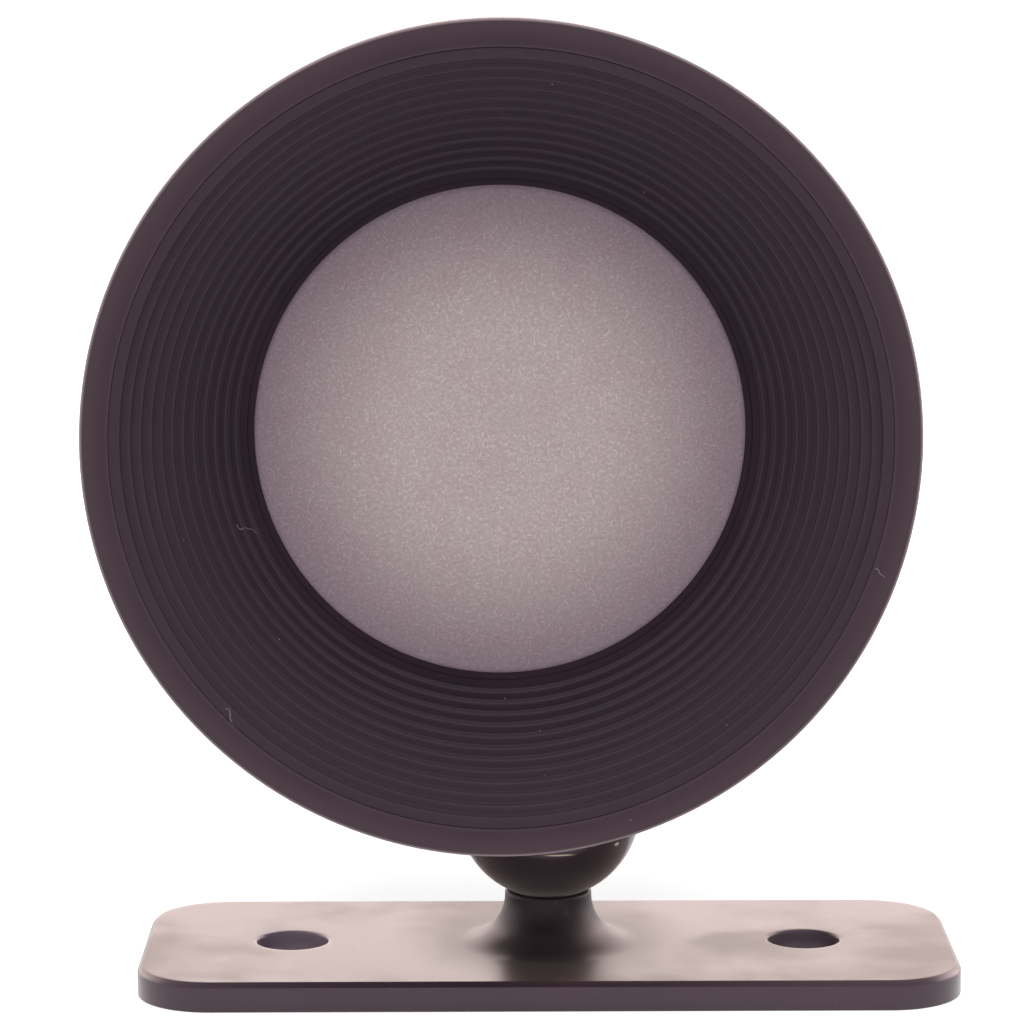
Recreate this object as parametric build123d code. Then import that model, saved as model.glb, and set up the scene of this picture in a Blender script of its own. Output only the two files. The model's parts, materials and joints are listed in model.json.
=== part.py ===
"""Small spotlight head on a magnetic ball seat, with a screw-down base plate.

Lengths are in millimetres. The origin is the centre of the base plate's underside, +Z is up and the
light shines towards -Y. The head is drawn in its own frame: the lamp axis lies along Y, the front of
the rim is the plane Y = 0 and depth grows towards the rear cover. One placement then seats the head
on the ball.
"""
from build123d import *
import os
from math import cos, radians, sin, sqrt

# Fits
running_clearance = 0.08
thread_clearance = 0.05
press_clearance = 0.02
seat_gap = 0.05

# How far a cutting tool runs past the face that it opens, and how closely an edge is matched
cut_overrun = 1.0
edge_match_tolerance = 0.01

# Base plate and post
plate_length = 50.0
plate_width = 20.0
plate_thickness = 1.8
plate_corner_radius = 4.6
plate_edge_chamfer = 0.3
mount_hole_diameter = 4.4
mount_hole_spacing = 31.7
mount_hole_edge_break = 0.12
neck_diameter = 5.35
neck_flare_radius = 3.0

# Ball and its screw
ball_diameter = 11.4
ball_height_above_plate = 8.5
ball_screw_diameter = 2.5
ball_screw_head_diameter = 4.5
ball_screw_head_height = 1.3
ball_screw_socket_width = 1.5
ball_screw_socket_depth = 0.8
ball_screw_head_setback = 0.3
ball_screw_tip_below_centre = 1.1
ball_hole_spare = 0.2
spring_washer_diameter = 5.0
spring_washer_thickness = 0.5
spring_washer_split = 0.3
spring_washer_split_slant = 20.0
ball_screw_recess_margin = 0.3

# Magnetic seat
liner_thickness = 0.6
liner_half_angle = 50.0
liner_crown_angle = 14.0
pot_wall = 1.5
pot_roof_thickness = 1.0
magnet_diameter = 8.9
magnet_bore_diameter = 3.2
magnet_crown_thickness = 0.94
magnet_face_setback = 0.1
seat_boss_wall = 1.7
seat_wall_ahead = 0.2
ball_centre_below_drum = 2.4

# Rest pose of the head on the ball
rest_lean = 7.1
rest_tilt = 1.0
rest_turn = 1.0

# Bezel ring
rim_diameter = 48.6
rim_width = 1.65
rim_thickness = 3.1
rim_edge_radius = 0.2
rim_rear_chamfer = 0.3
bezel_ledge_depth = 1.25
bezel_ledge_width = 1.55
bezel_skirt_wall = 0.7
bezel_skirt_length = 2.7

# Stepped baffle
ridge_count = 13
baffle_band_width = 0.7
ridge_inset = 0.588
ridge_drop = 0.49
baffle_setback = 0.05
baffle_wall = 1.75
baffle_neck_end_depth = 2.2
baffle_lip_width = 0.394
baffle_lip_thickness = 0.3
baffle_lip_drop = 0.15
baffle_tail_overhang = 0.9
baffle_tail_height = 0.45
baffle_tail_shoulder = 0.2

# Diffuser and its seal
lens_edge_cover = 1.0
lens_seat_width = 2.3
lens_thickness = 1.0
lens_pocket_clearance = 0.15
lens_gasket_thickness = 0.4
lens_gasket_setback = 0.2

# Housing
collar_inset = 1.0
collar_length = 3.7
collar_chamfer = 0.6
drum_inset = 2.3
chamber_diameter = 26.4
core_wall = 3.4
web_thickness = 2.6
front_land = 1.8
rear_land = 1.9
groove_count = 6
groove_width = 1.4

# Light source
reflector_height = 5.5
reflector_flange_width = 0.6
reflector_flange_thickness = 0.6
reflector_wall = 0.6
reflector_throat_gap = 0.15
reflector_foot_length = 0.7
board_side_gap = 0.6
board_thickness = 1.6
emitter_diameter = 8.8
emitter_height = 0.6
emitter_dam_wall = 0.65
thermal_pad_thickness = 0.5
thermal_pad_setback = 0.4
board_screw_edge_distance = 3.0
board_screw_count = 3
board_screw_angle = 30.0
board_screw_length = 3.7

# Small screws shared by the boards and the cover
small_screw_diameter = 2.0
small_screw_head_diameter = 3.6
small_screw_head_height = 1.2
small_screw_slot_width = 0.5
small_screw_slot_depth = 0.5
small_screw_hole_margin = 0.4

# Lamp leads
lead_diameter = 0.9
lead_spacing = 1.4
lead_edge_distance = 2.0
lead_landing_length = 2.2
lead_bend_radius = 1.0
lead_hole_diameter = 3.0

# Driver
driver_board_thickness = 1.0
standoff_height = 1.5
standoff_diameter = 3.8
driver_headroom = 6.0
driver_screw_edge_distance = 2.4
driver_screw_count = 2
driver_screw_angle = 0.0
driver_screw_length = 3.2
inductor_diameter = 5.8
inductor_height = 3.6
inductor_waist = 0.8
inductor_flange = 0.7
inductor_angle = 45.0
capacitor_diameter = 4.0
capacitor_height = 4.0
capacitor_angles = (118.0, 150.0)
chip_length = 4.0
chip_width = 3.0
chip_height = 1.3
chip_angles = (235.0, 305.0)

# Rear cover
cover_thickness = 1.8
cover_edge_radius = 0.8
cover_spigot_wall = 1.2
cover_spigot_length = 1.2
cover_inset = 0.8
cover_screw_count = 3
cover_screw_angle = 90.0
cover_screw_length = 5.2
cover_gasket_inset = 0.7
cover_gasket_width = 2.0
cover_gasket_thickness = 0.5

# Power inlet
inlet_barrel_diameter = 7.6
inlet_flange_diameter = 10.0
inlet_flange_thickness = 0.9
inlet_bore_diameter = 5.7
inlet_bore_depth = 5.0
inlet_floor_thickness = 0.8
inlet_pin_diameter = 2.0
inlet_pin_setback = 0.5
inlet_nut_width = 9.6
inlet_nut_thickness = 1.4
inlet_post_diameter = 0.8
inlet_post_spacing = 4.4

# Ball and seat sizes worked out from those above, with heights from the ball's centre
ball_radius = ball_diameter / 2
ball_centre = Vector(0, 0, plate_thickness + ball_height_above_plate)
recess_radius = spring_washer_diameter / 2 + ball_screw_recess_margin
recess_roof = ball_screw_head_setback + ball_screw_head_height + spring_washer_thickness
liner_inner_radius = ball_radius + running_clearance
liner_outer_radius = liner_inner_radius + liner_thickness
pocket_radius = liner_outer_radius + running_clearance
pocket_mouth_height = pocket_radius * cos(radians(liner_half_angle))
magnet_top_height = pocket_radius + magnet_crown_thickness
pot_top_height = magnet_top_height + pot_roof_thickness
pot_radius = magnet_diameter / 2 + seat_gap + pot_wall

# Radii about the lamp axis
rim_radius = rim_diameter / 2
opening_radius = rim_radius - rim_width
skirt_bore_radius = opening_radius - bezel_ledge_width
skirt_radius = skirt_bore_radius + bezel_skirt_wall
first_ridge_radius = opening_radius - baffle_band_width
last_ridge_radius = first_ridge_radius - (ridge_count - 1) * ridge_inset
lip_radius = last_ridge_radius - baffle_lip_width
collar_radius = rim_radius - collar_inset
drum_radius = rim_radius - drum_inset
chamber_radius = chamber_diameter / 2
lens_radius = max(lip_radius + lens_edge_cover, chamber_radius + lens_seat_width)
core_radius = chamber_radius + core_wall
board_radius = chamber_radius - board_side_gap
pad_radius = board_radius - thermal_pad_setback
cover_gasket_bore_radius = core_radius + cover_gasket_inset
gasket_diameter = 2 * (cover_gasket_bore_radius + cover_gasket_width)
dam_bore_diameter = emitter_diameter + 2 * seat_gap
dam_diameter = dam_bore_diameter + 2 * emitter_dam_wall
inlet_nut_corner_radius = inlet_nut_width / sqrt(3)
component_circle_radius = (board_radius + inlet_nut_corner_radius) / 2
lead_offset = board_radius - lead_edge_distance
driver_screw_offset = board_radius - driver_screw_edge_distance

# Depths behind the front of the rim
skirt_end_depth = rim_thickness + bezel_skirt_length
ridge_slope = ridge_inset / ridge_drop
last_ridge_depth = baffle_setback + (ridge_count - 1) * ridge_drop
lip_front_depth = last_ridge_depth + baffle_lip_drop
lens_front_depth = lip_front_depth + baffle_lip_thickness
lens_rear_depth = lens_front_depth + lens_thickness
gasket_rear_depth = lens_rear_depth + lens_gasket_thickness
floor_depth = lens_front_depth + lens_pocket_clearance
seat_depth = gasket_rear_depth + seat_wall_ahead + press_clearance + pot_radius
reflector_front_depth = gasket_rear_depth + seat_gap
board_front_depth = reflector_front_depth + reflector_height
emitter_front_depth = board_front_depth - emitter_height
pad_front_depth = board_front_depth + board_thickness
web_front_depth = pad_front_depth + thermal_pad_thickness
web_rear_depth = web_front_depth + web_thickness
driver_front_depth = web_rear_depth + standoff_height
driver_rear_depth = driver_front_depth + driver_board_thickness
housing_rear_depth = driver_rear_depth + driver_headroom
cover_rear_depth = housing_rear_depth + cover_thickness
inlet_front_depth = cover_rear_depth + inlet_flange_thickness
inlet_bore_floor_depth = inlet_front_depth - inlet_bore_depth
inlet_inner_depth = inlet_bore_floor_depth - inlet_floor_thickness
inlet_post_end_depth = inlet_inner_depth + inlet_floor_thickness / 2
collar_end_depth = rim_thickness + collar_length
first_groove_depth = collar_end_depth + collar_chamfer + front_land
last_groove_depth = housing_rear_depth - rear_land - groove_width
groove_pitch = (last_groove_depth - first_groove_depth) / (groove_count - 1)
cover_gasket_front_depth = housing_rear_depth - cover_gasket_thickness
board_screw_end = board_front_depth + board_screw_length
driver_screw_end = driver_rear_depth - driver_screw_length
cover_screw_seat = cover_rear_depth - small_screw_head_height
cover_screw_end = cover_screw_seat - cover_screw_length
lamp_axis_above_ball = drum_radius + ball_centre_below_drum

# Holes for the small screws
small_head_hole = small_screw_head_diameter + small_screw_hole_margin
small_shank_hole = small_screw_diameter + small_screw_hole_margin
small_thread_hole = small_screw_diameter + 2 * thread_clearance

parts = {}


def turned(points):
    """Turn a closed outline of (radius, depth) points about the lamp axis."""
    outline = Polyline(*points, close=True)
    return revolve(make_face(outline), Axis.Y)


def rod(diameter, start_depth, end_depth, x=0.0, z=0.0):
    """A round bar along the lamp axis between two depths."""
    length = end_depth - start_depth
    bar = Cylinder(diameter / 2, length, rotation=(90, 0, 0))
    return Pos(x, (start_depth + end_depth) / 2, z) * bar


def ring(outer_diameter, inner_diameter, start_depth, end_depth):
    """A plain ring about the lamp axis between two depths."""
    inner = inner_diameter / 2
    outer = outer_diameter / 2
    return turned([(inner, start_depth), (outer, start_depth), (outer, end_depth), (inner, end_depth)])


def around_axis(radius, count, first_angle):
    """Evenly spaced (x, z) places on a circle about the lamp axis."""
    angles = [radians(first_angle + 360 * step / count) for step in range(count)]
    return [(radius * cos(angle), radius * sin(angle)) for angle in angles]


def small_screw(x, z, seat, length, direction):
    """A slotted screw whose head bears at depth seat and whose shank runs by direction."""
    head_end = seat - direction * small_screw_head_height
    head = rod(small_screw_head_diameter, min(seat, head_end), max(seat, head_end), x, z)
    tip = seat + direction * length
    shank = rod(small_screw_diameter, min(seat, tip), max(seat, tip), x, z)
    slot_depth = head_end + direction * small_screw_slot_depth / 2
    slot = Box(small_screw_head_diameter, small_screw_slot_depth, small_screw_slot_width)
    return head + shank - Pos(x, slot_depth, z) * slot


def base_plate():
    """Plate with rounded corners, two screw holes and the turned post that carries the ball."""
    outline = RectangleRounded(plate_length, plate_width, plate_corner_radius)
    plate = extrude(outline, plate_thickness)
    top_edges = plate.edges().group_by(Axis.Z)[-1]
    plate = chamfer(top_edges, plate_edge_chamfer)
    neck = neck_diameter / 2
    base = neck + neck_flare_radius
    top = ball_centre.Z - ball_radius / 2
    foot = (base, 0, plate_thickness)
    flare_end = (neck, 0, plate_thickness + neck_flare_radius)
    flare_mid_offset = neck_flare_radius * (1 - cos(radians(45)))
    flare_mid = (neck + flare_mid_offset, 0, plate_thickness + flare_mid_offset)
    under = plate_thickness / 2
    edges = [
        Line((0, 0, under), (base, 0, under)),
        Line((base, 0, under), foot),
        ThreePointArc(foot, flare_mid, flare_end),
        Line(flare_end, (neck, 0, top)),
        Line((neck, 0, top), (0, 0, top)),
        Line((0, 0, top), (0, 0, under)),
    ]
    post = revolve(make_face(Curve() + edges), Axis.Z)
    body = plate + post - Pos(*ball_centre) * Sphere(ball_radius + running_clearance)
    body -= Pos(0, 0, recess_roof / 2) * Cylinder(recess_radius, recess_roof)
    body -= Cylinder(ball_screw_diameter / 2 + running_clearance, 2 * ball_centre.Z)
    for side in (-1, 1):
        hole = Pos(side * mount_hole_spacing / 2, 0, plate_thickness / 2)
        body -= hole * Cylinder(mount_hole_diameter / 2, 2 * plate_thickness)
    hole_edges = []
    for edge in body.edges().filter_by(GeomType.CIRCLE):
        on_top = abs(edge.center().Z - plate_thickness) < edge_match_tolerance
        if on_top and abs(edge.radius - mount_hole_diameter / 2) < edge_match_tolerance:
            hole_edges.append(edge)
    return chamfer(hole_edges, mount_hole_edge_break)


def spring_washer():
    """Split washer between the screw head and the recess roof."""
    thickness = spring_washer_thickness
    disc = Cylinder(spring_washer_diameter / 2, thickness)
    disc -= Cylinder(ball_screw_diameter / 2 + running_clearance, thickness)
    split = Box(spring_washer_diameter, spring_washer_split, 4 * thickness)
    split = Pos(spring_washer_diameter / 2, 0, 0) * Rot(spring_washer_split_slant, 0, 0) * split
    return Pos(0, 0, recess_roof - thickness / 2) * (disc - split)


def ball_screw():
    """Socket screw that passes up through the post into the ball."""
    head_low = ball_screw_head_setback
    head_top = head_low + ball_screw_head_height
    tip = ball_centre.Z - ball_screw_tip_below_centre
    head = Cylinder(ball_screw_head_diameter / 2, ball_screw_head_height)
    head = Pos(0, 0, (head_low + head_top) / 2) * head
    shank = Pos(0, 0, (head_top + tip) / 2) * Cylinder(ball_screw_diameter / 2, tip - head_top)
    hexagon = RegularPolygon(ball_screw_socket_width / sqrt(3), 6)
    socket = Pos(0, 0, head_low) * extrude(hexagon, ball_screw_socket_depth)
    return head + shank - socket


def swivel_ball():
    """Polished steel ball with a blind threaded hole from below."""
    hole_top = ball_centre.Z - ball_screw_tip_below_centre + ball_hole_spare
    hole_radius = ball_screw_diameter / 2 + thread_clearance
    hole = Pos(0, 0, hole_top / 2) * Cylinder(hole_radius, hole_top)
    return Pos(*ball_centre) * Sphere(ball_radius) - hole


def seat_outline(inner_radius, outer_radius, first_angle, last_angle):
    """Face between two concentric arcs about the ball, measured from the seat axis."""
    def arc(radius, start, end):
        angles = (radians(start), radians((start + end) / 2), radians(end))
        return ThreePointArc(*[(radius * sin(angle), 0, radius * cos(angle)) for angle in angles])
    inner = arc(inner_radius, first_angle, last_angle)
    outer = arc(outer_radius, last_angle, first_angle)
    return make_face(Curve() + [inner, Line(inner @ 1, outer @ 0), outer, Line(outer @ 1, inner @ 0)])


def friction_liner():
    """Thin low-friction cup that floats between the ball and the magnet's pocket."""
    face = seat_outline(liner_inner_radius, liner_outer_radius, liner_crown_angle, liner_half_angle)
    return revolve(face, Axis.Z)


def magnet_pot():
    """Steel cup whose rim and inner wall end in the spherical pocket, with heights from the ball."""
    height = pot_top_height - pocket_mouth_height
    middle = (pot_top_height + pocket_mouth_height) / 2
    body = Pos(0, 0, middle) * Cylinder(pot_radius, height)
    cavity = Cylinder(magnet_diameter / 2 + seat_gap, magnet_top_height)
    return body - Pos(0, 0, magnet_top_height / 2) * cavity - Sphere(pocket_radius)


def ring_magnet():
    """Ring magnet with a hollowed face, glued under the pot's roof."""
    body = Pos(0, 0, magnet_top_height / 2) * Cylinder(magnet_diameter / 2, magnet_top_height)
    body -= Cylinder(magnet_bore_diameter / 2, 4 * magnet_top_height)
    return body - Sphere(pocket_radius + magnet_face_setback)


def bezel_ring():
    """Flat front rim with a threaded skirt and a ledge for the baffle."""
    opening = opening_radius
    outer = rim_radius
    corner = rim_edge_radius
    corner_mid = corner * (1 - cos(radians(45)))
    rear = rim_thickness - rim_rear_chamfer
    edges = [
        Line((opening, 0), (outer - corner, 0)),
        ThreePointArc((outer - corner, 0), (outer - corner_mid, corner_mid), (outer, corner)),
        Polyline(
            (outer, corner), (outer, rear), (outer - rim_rear_chamfer, rim_thickness),
            (skirt_radius, rim_thickness), (skirt_radius, skirt_end_depth),
            (skirt_bore_radius, skirt_end_depth), (skirt_bore_radius, bezel_ledge_depth),
            (opening, bezel_ledge_depth), (opening, 0)),
    ]
    return revolve(make_face(Curve() + edges), Axis.Y)


def stepped_baffle():
    """Cone of fine steps that hides the lamp from the side, with a lip over the diffuser."""
    flange = opening_radius - seat_gap
    neck = skirt_bore_radius - seat_gap
    points = [(flange, baffle_setback)]
    for step in range(ridge_count - 1):
        radius = first_ridge_radius - step * ridge_inset
        depth = baffle_setback + step * ridge_drop
        points += [(radius, depth), (radius, depth + ridge_drop)]
    points += [(last_ridge_radius, last_ridge_depth), (last_ridge_radius, lip_front_depth)]
    points += [(lip_radius, lip_front_depth), (lip_radius, lens_front_depth)]
    tail = lens_radius + baffle_tail_overhang
    tail_depth = lens_front_depth - baffle_tail_height
    cone = first_ridge_radius - ridge_slope * (tail_depth - baffle_setback) + baffle_wall
    back = max(cone, tail + baffle_tail_shoulder)
    points += [(tail, lens_front_depth), (tail, tail_depth), (back, tail_depth)]
    points += [(neck, baffle_neck_end_depth), (neck, bezel_ledge_depth), (flange, bezel_ledge_depth)]
    return turned(points)


def housing():
    """Finned drum with the diffuser pocket, the lamp web, the driver chamber and the seat boss."""
    bore = skirt_radius + thread_clearance
    pocket = lens_radius + lens_pocket_clearance
    chamfer_end = collar_end_depth + collar_chamfer
    body = turned([
        (bore, rim_thickness), (collar_radius, rim_thickness), (collar_radius, collar_end_depth),
        (collar_radius - collar_chamfer, chamfer_end), (drum_radius, chamfer_end),
        (drum_radius, housing_rear_depth), (chamber_radius, housing_rear_depth),
        (chamber_radius, web_rear_depth), (0, web_rear_depth), (0, web_front_depth),
        (chamber_radius, web_front_depth), (chamber_radius, gasket_rear_depth),
        (pocket, gasket_rear_depth), (pocket, floor_depth), (bore, floor_depth)])
    for index in range(groove_count):
        start = first_groove_depth + index * groove_pitch
        body -= ring(2 * collar_radius, 2 * core_radius, start, start + groove_width)
    boss = Cylinder(pot_radius + seat_boss_wall, drum_radius)
    boss = Pos(0, seat_depth, -drum_radius / 2 - chamber_radius) * boss
    boss_root = core_radius - core_wall / 4
    body += boss & ring(2 * drum_radius, 2 * boss_root, chamfer_end, housing_rear_depth)
    body -= rod(2 * pocket, floor_depth, gasket_rear_depth)
    seat_top = pot_top_height + press_clearance - lamp_axis_above_ball
    seat_bore = Cylinder(pot_radius + press_clearance, drum_radius)
    body -= Pos(0, seat_depth, seat_top - drum_radius / 2) * seat_bore
    for x, z in driver_screw_places():
        body += rod(standoff_diameter, web_rear_depth, driver_front_depth, x, z)
        body -= rod(small_thread_hole, driver_screw_end - seat_gap, driver_rear_depth, x, z)
    for x, z in board_screw_places():
        body -= rod(small_thread_hole, board_front_depth, board_screw_end + seat_gap, x, z)
    for x, z in cover_screw_places():
        body -= rod(small_thread_hole, cover_screw_end - seat_gap, cover_rear_depth, x, z)
    body -= rod(lead_hole_diameter, board_front_depth, driver_front_depth, 0, lead_offset)
    gasket_outer = cover_gasket_bore_radius + cover_gasket_width + seat_gap
    gasket_inner = cover_gasket_bore_radius - seat_gap
    return body - ring(2 * gasket_outer, 2 * gasket_inner, cover_gasket_front_depth, cover_rear_depth)


def board_screw_places():
    """Places of the lamp board's screws about the lamp axis."""
    return around_axis(board_radius - board_screw_edge_distance, board_screw_count, board_screw_angle)


def driver_screw_places():
    """Places of the driver board's screws about the lamp axis."""
    return around_axis(driver_screw_offset, driver_screw_count, driver_screw_angle)


def cover_screw_places():
    """Places of the rear cover's screws, in the middle of the housing's core wall."""
    return around_axis(chamber_radius + core_wall / 2, cover_screw_count, cover_screw_angle)


def reflector():
    """White cone between the emitter and the diffuser, with a flange and a foot."""
    flange = chamber_radius - 2 * seat_gap
    mouth = flange - reflector_flange_width
    throat = dam_diameter / 2 + reflector_throat_gap
    flange_rear = reflector_front_depth + reflector_flange_thickness
    foot_front = board_front_depth - reflector_foot_length
    return turned([
        (mouth, reflector_front_depth), (flange, reflector_front_depth), (flange, flange_rear),
        (mouth + reflector_wall / 2, flange_rear), (throat + reflector_wall, foot_front),
        (throat + reflector_wall, board_front_depth), (throat, board_front_depth), (throat, foot_front)])


def lamp_side_disc(radius, front, rear):
    """Disc with the holes that the lamp board and its pad share, for the screws and the leads."""
    start = front - cut_overrun
    end = rear + cut_overrun
    body = rod(2 * radius, front, rear)
    for x, z in board_screw_places():
        body -= rod(small_shank_hole, start, end, x, z)
    return body - rod(lead_hole_diameter, start, end, 0, lead_offset)


def lamp_leads():
    """Two insulated leads from the driver board through the web to the lamp board's front."""
    leads = []
    run_depth = board_front_depth - lead_diameter / 2 - seat_gap
    for side in (-1, 1):
        x = side * lead_spacing / 2
        path = FilletPolyline(
            (x, run_depth, lead_offset - lead_landing_length),
            (x, run_depth, lead_offset),
            (x, driver_front_depth, lead_offset),
            radius=lead_bend_radius)
        section = Plane(origin=path @ 0, z_dir=path % 0) * Circle(lead_diameter / 2)
        leads.append(sweep(section, path))
    return Compound(leads)


def driver_board():
    """Round driver board with holes for its two screws."""
    start = driver_front_depth - cut_overrun
    end = driver_rear_depth + cut_overrun
    body = rod(2 * board_radius, driver_front_depth, driver_rear_depth)
    for x, z in driver_screw_places():
        body -= rod(small_shank_hole, start, end, x, z)
    return body


def component_place(angle):
    """Place of a driver component about the lamp axis."""
    return around_axis(component_circle_radius, 1, angle)[0]


def driver_inductor():
    """Drum inductor with two flanges and a narrower winding."""
    x, z = component_place(inductor_angle)
    top = driver_rear_depth + inductor_height
    low_flange = rod(inductor_diameter, driver_rear_depth, driver_rear_depth + inductor_flange, x, z)
    winding = rod(inductor_diameter - inductor_waist, driver_rear_depth, top, x, z)
    top_flange = rod(inductor_diameter, top - inductor_flange, top, x, z)
    return low_flange + winding + top_flange


def driver_capacitors():
    """Two round capacitors standing on the driver board."""
    cans = []
    top = driver_rear_depth + capacitor_height
    for angle in capacitor_angles:
        x, z = component_place(angle)
        cans.append(rod(capacitor_diameter, driver_rear_depth, top, x, z))
    return Compound(cans)


def driver_chips():
    """Rectifier and controller on the driver board."""
    chips = []
    for angle in chip_angles:
        x, z = component_place(angle)
        chip = Box(chip_length, chip_height, chip_width)
        chips.append(Pos(x, driver_rear_depth + chip_height / 2, z) * chip)
    return Compound(chips)


def rear_cover():
    """Round cover with a locating spigot, screw counterbores and the inlet hole."""
    outer = drum_radius - cover_inset
    corner = cover_edge_radius
    corner_mid = corner * (1 - cos(radians(45)))
    spigot = chamber_radius - 2 * seat_gap
    spigot_bore = spigot - cover_spigot_wall
    spigot_front = housing_rear_depth - cover_spigot_length
    hole = inlet_barrel_diameter / 2 + seat_gap
    rear = cover_rear_depth
    edges = [
        Polyline(
            (hole, rear), (hole, housing_rear_depth), (spigot_bore, housing_rear_depth),
            (spigot_bore, spigot_front), (spigot, spigot_front),
            (spigot, housing_rear_depth), (outer, housing_rear_depth), (outer, rear - corner)),
        ThreePointArc(
            (outer, rear - corner), (outer - corner_mid, rear - corner_mid), (outer - corner, rear)),
        Line((outer - corner, rear), (hole, rear)),
    ]
    body = revolve(make_face(Curve() + edges), Axis.Y)
    for x, z in cover_screw_places():
        body -= rod(small_head_hole, cover_screw_seat, rear + cut_overrun, x, z)
        body -= rod(small_shank_hole, housing_rear_depth - cut_overrun, rear + cut_overrun, x, z)
    return body


def power_inlet():
    """Round low-voltage socket with a flange outside the cover."""
    barrel = rod(inlet_barrel_diameter, inlet_inner_depth, cover_rear_depth)
    flange = rod(inlet_flange_diameter, cover_rear_depth, inlet_front_depth)
    bore = rod(inlet_bore_diameter, inlet_bore_floor_depth, inlet_front_depth + cut_overrun)
    pin_start = inlet_inner_depth - cut_overrun
    body = barrel + flange - bore - rod(inlet_pin_diameter, pin_start, inlet_front_depth)
    for side in (-1, 1):
        body -= rod(inlet_post_diameter, pin_start, inlet_post_end_depth, side * inlet_post_spacing / 2)
    return body


def inlet_pin():
    """Centre contact of the socket."""
    tip = inlet_front_depth - inlet_pin_setback
    return rod(inlet_pin_diameter, inlet_inner_depth - inlet_floor_thickness, tip)


def inlet_nut():
    """Hexagon nut that clamps the socket to the inside of the cover."""
    hexagon = RegularPolygon(inlet_nut_corner_radius, 6)
    nut = extrude(Plane.XZ * hexagon, inlet_nut_thickness / 2, both=True)
    nut = Pos(0, housing_rear_depth - inlet_nut_thickness / 2, 0) * nut
    return nut - rod(inlet_barrel_diameter + 2 * thread_clearance, 0, cover_rear_depth)


def inlet_posts():
    """Two contact posts from the socket down to the driver board."""
    places = [side * inlet_post_spacing / 2 for side in (-1, 1)]
    return Compound([rod(inlet_post_diameter, driver_rear_depth, inlet_post_end_depth, x) for x in places])


seat_frame = Pos(*ball_centre) * Rot(0, 0, rest_turn) * Rot(0, -rest_lean, 0) * Rot(-rest_tilt, 0, 0)
head_frame = seat_frame * Pos(0, -seat_depth, lamp_axis_above_ball)

# Base and ball
parts["base_plate"] = base_plate()
parts["spring_washer"] = spring_washer()
parts["ball_screw"] = ball_screw()
parts["swivel_ball"] = swivel_ball()

# Magnetic seat
parts["friction_liner"] = seat_frame * friction_liner()
parts["magnet_pot"] = seat_frame * magnet_pot()
parts["ring_magnet"] = seat_frame * ring_magnet()

# Head
board_screws = [
    small_screw(x, z, board_front_depth, board_screw_length, 1) for x, z in board_screw_places()]
driver_screws = [
    small_screw(x, z, driver_rear_depth, driver_screw_length, -1) for x, z in driver_screw_places()]
cover_screws = [
    small_screw(x, z, cover_screw_seat, cover_screw_length, -1) for x, z in cover_screw_places()]
head = {
    "bezel_ring": bezel_ring(),
    "stepped_baffle": stepped_baffle(),
    "diffuser_lens": rod(2 * lens_radius, lens_front_depth, lens_rear_depth),
    "lens_gasket": ring(
        2 * lens_radius, 2 * (chamber_radius + lens_gasket_setback), lens_rear_depth, gasket_rear_depth),
    "housing": housing(),
    "reflector": reflector(),
    "emitter": rod(emitter_diameter, emitter_front_depth, board_front_depth),
    "emitter_dam": ring(dam_diameter, dam_bore_diameter, emitter_front_depth, board_front_depth),
    "lamp_board": lamp_side_disc(board_radius, board_front_depth, pad_front_depth),
    "thermal_pad": lamp_side_disc(pad_radius, pad_front_depth, web_front_depth),
    "board_screws": Compound(board_screws),
    "lamp_leads": lamp_leads(),
    "driver_board": driver_board(),
    "driver_screws": Compound(driver_screws),
    "driver_inductor": driver_inductor(),
    "driver_capacitors": driver_capacitors(),
    "driver_chips": driver_chips(),
    "rear_cover": rear_cover(),
    "cover_gasket": ring(
        gasket_diameter, 2 * cover_gasket_bore_radius, cover_gasket_front_depth, housing_rear_depth),
    "cover_screws": Compound(cover_screws),
    "power_inlet": power_inlet(),
    "inlet_pin": inlet_pin(),
    "inlet_nut": inlet_nut(),
    "inlet_posts": inlet_posts(),
}
for name, shape in head.items():
    parts[name] = head_frame * shape

os.makedirs("parts", exist_ok=True)
for name, shape in parts.items():
    export_step(shape, f"parts/{name}.step")
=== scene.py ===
"""Looks of a small spotlight head on a magnetic ball seat, with a screw-down base plate.

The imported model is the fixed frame. Dataclass fields hold lengths in millimetres and angles in
degrees, and MM turns lengths into metres. Each piece is drawn in the frame of its sub-assembly and
then settled in the row frame. Lamp pieces are drawn about the lamp axis, where the rim's front is
depth 0 and depth grows towards the rear cover. Seat pieces are drawn from the ball's centre, and
base pieces from the centre of the plate's underside.
"""

import json
import logging
import math
from dataclasses import dataclass, field
from enum import Enum
from typing import ClassVar, Sequence

import bmesh
import bpy
from mathutils import Euler, Matrix, Vector


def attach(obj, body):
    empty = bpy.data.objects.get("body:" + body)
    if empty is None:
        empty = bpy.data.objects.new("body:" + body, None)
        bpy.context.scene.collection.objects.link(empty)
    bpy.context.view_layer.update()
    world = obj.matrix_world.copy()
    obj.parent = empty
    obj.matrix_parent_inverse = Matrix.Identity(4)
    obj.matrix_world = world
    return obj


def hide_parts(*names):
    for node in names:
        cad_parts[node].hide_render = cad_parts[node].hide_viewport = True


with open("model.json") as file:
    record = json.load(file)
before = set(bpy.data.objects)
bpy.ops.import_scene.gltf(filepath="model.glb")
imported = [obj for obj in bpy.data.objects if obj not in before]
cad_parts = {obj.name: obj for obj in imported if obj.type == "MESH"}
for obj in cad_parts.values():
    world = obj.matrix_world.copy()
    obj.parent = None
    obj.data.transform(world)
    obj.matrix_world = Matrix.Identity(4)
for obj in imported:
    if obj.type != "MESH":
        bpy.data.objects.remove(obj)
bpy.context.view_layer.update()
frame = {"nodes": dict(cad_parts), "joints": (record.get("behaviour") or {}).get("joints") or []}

MM = 0.001
ROUND_SEGMENTS = 192
SMALL_SEGMENTS = 72
EASE_STEPS = 3
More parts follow.
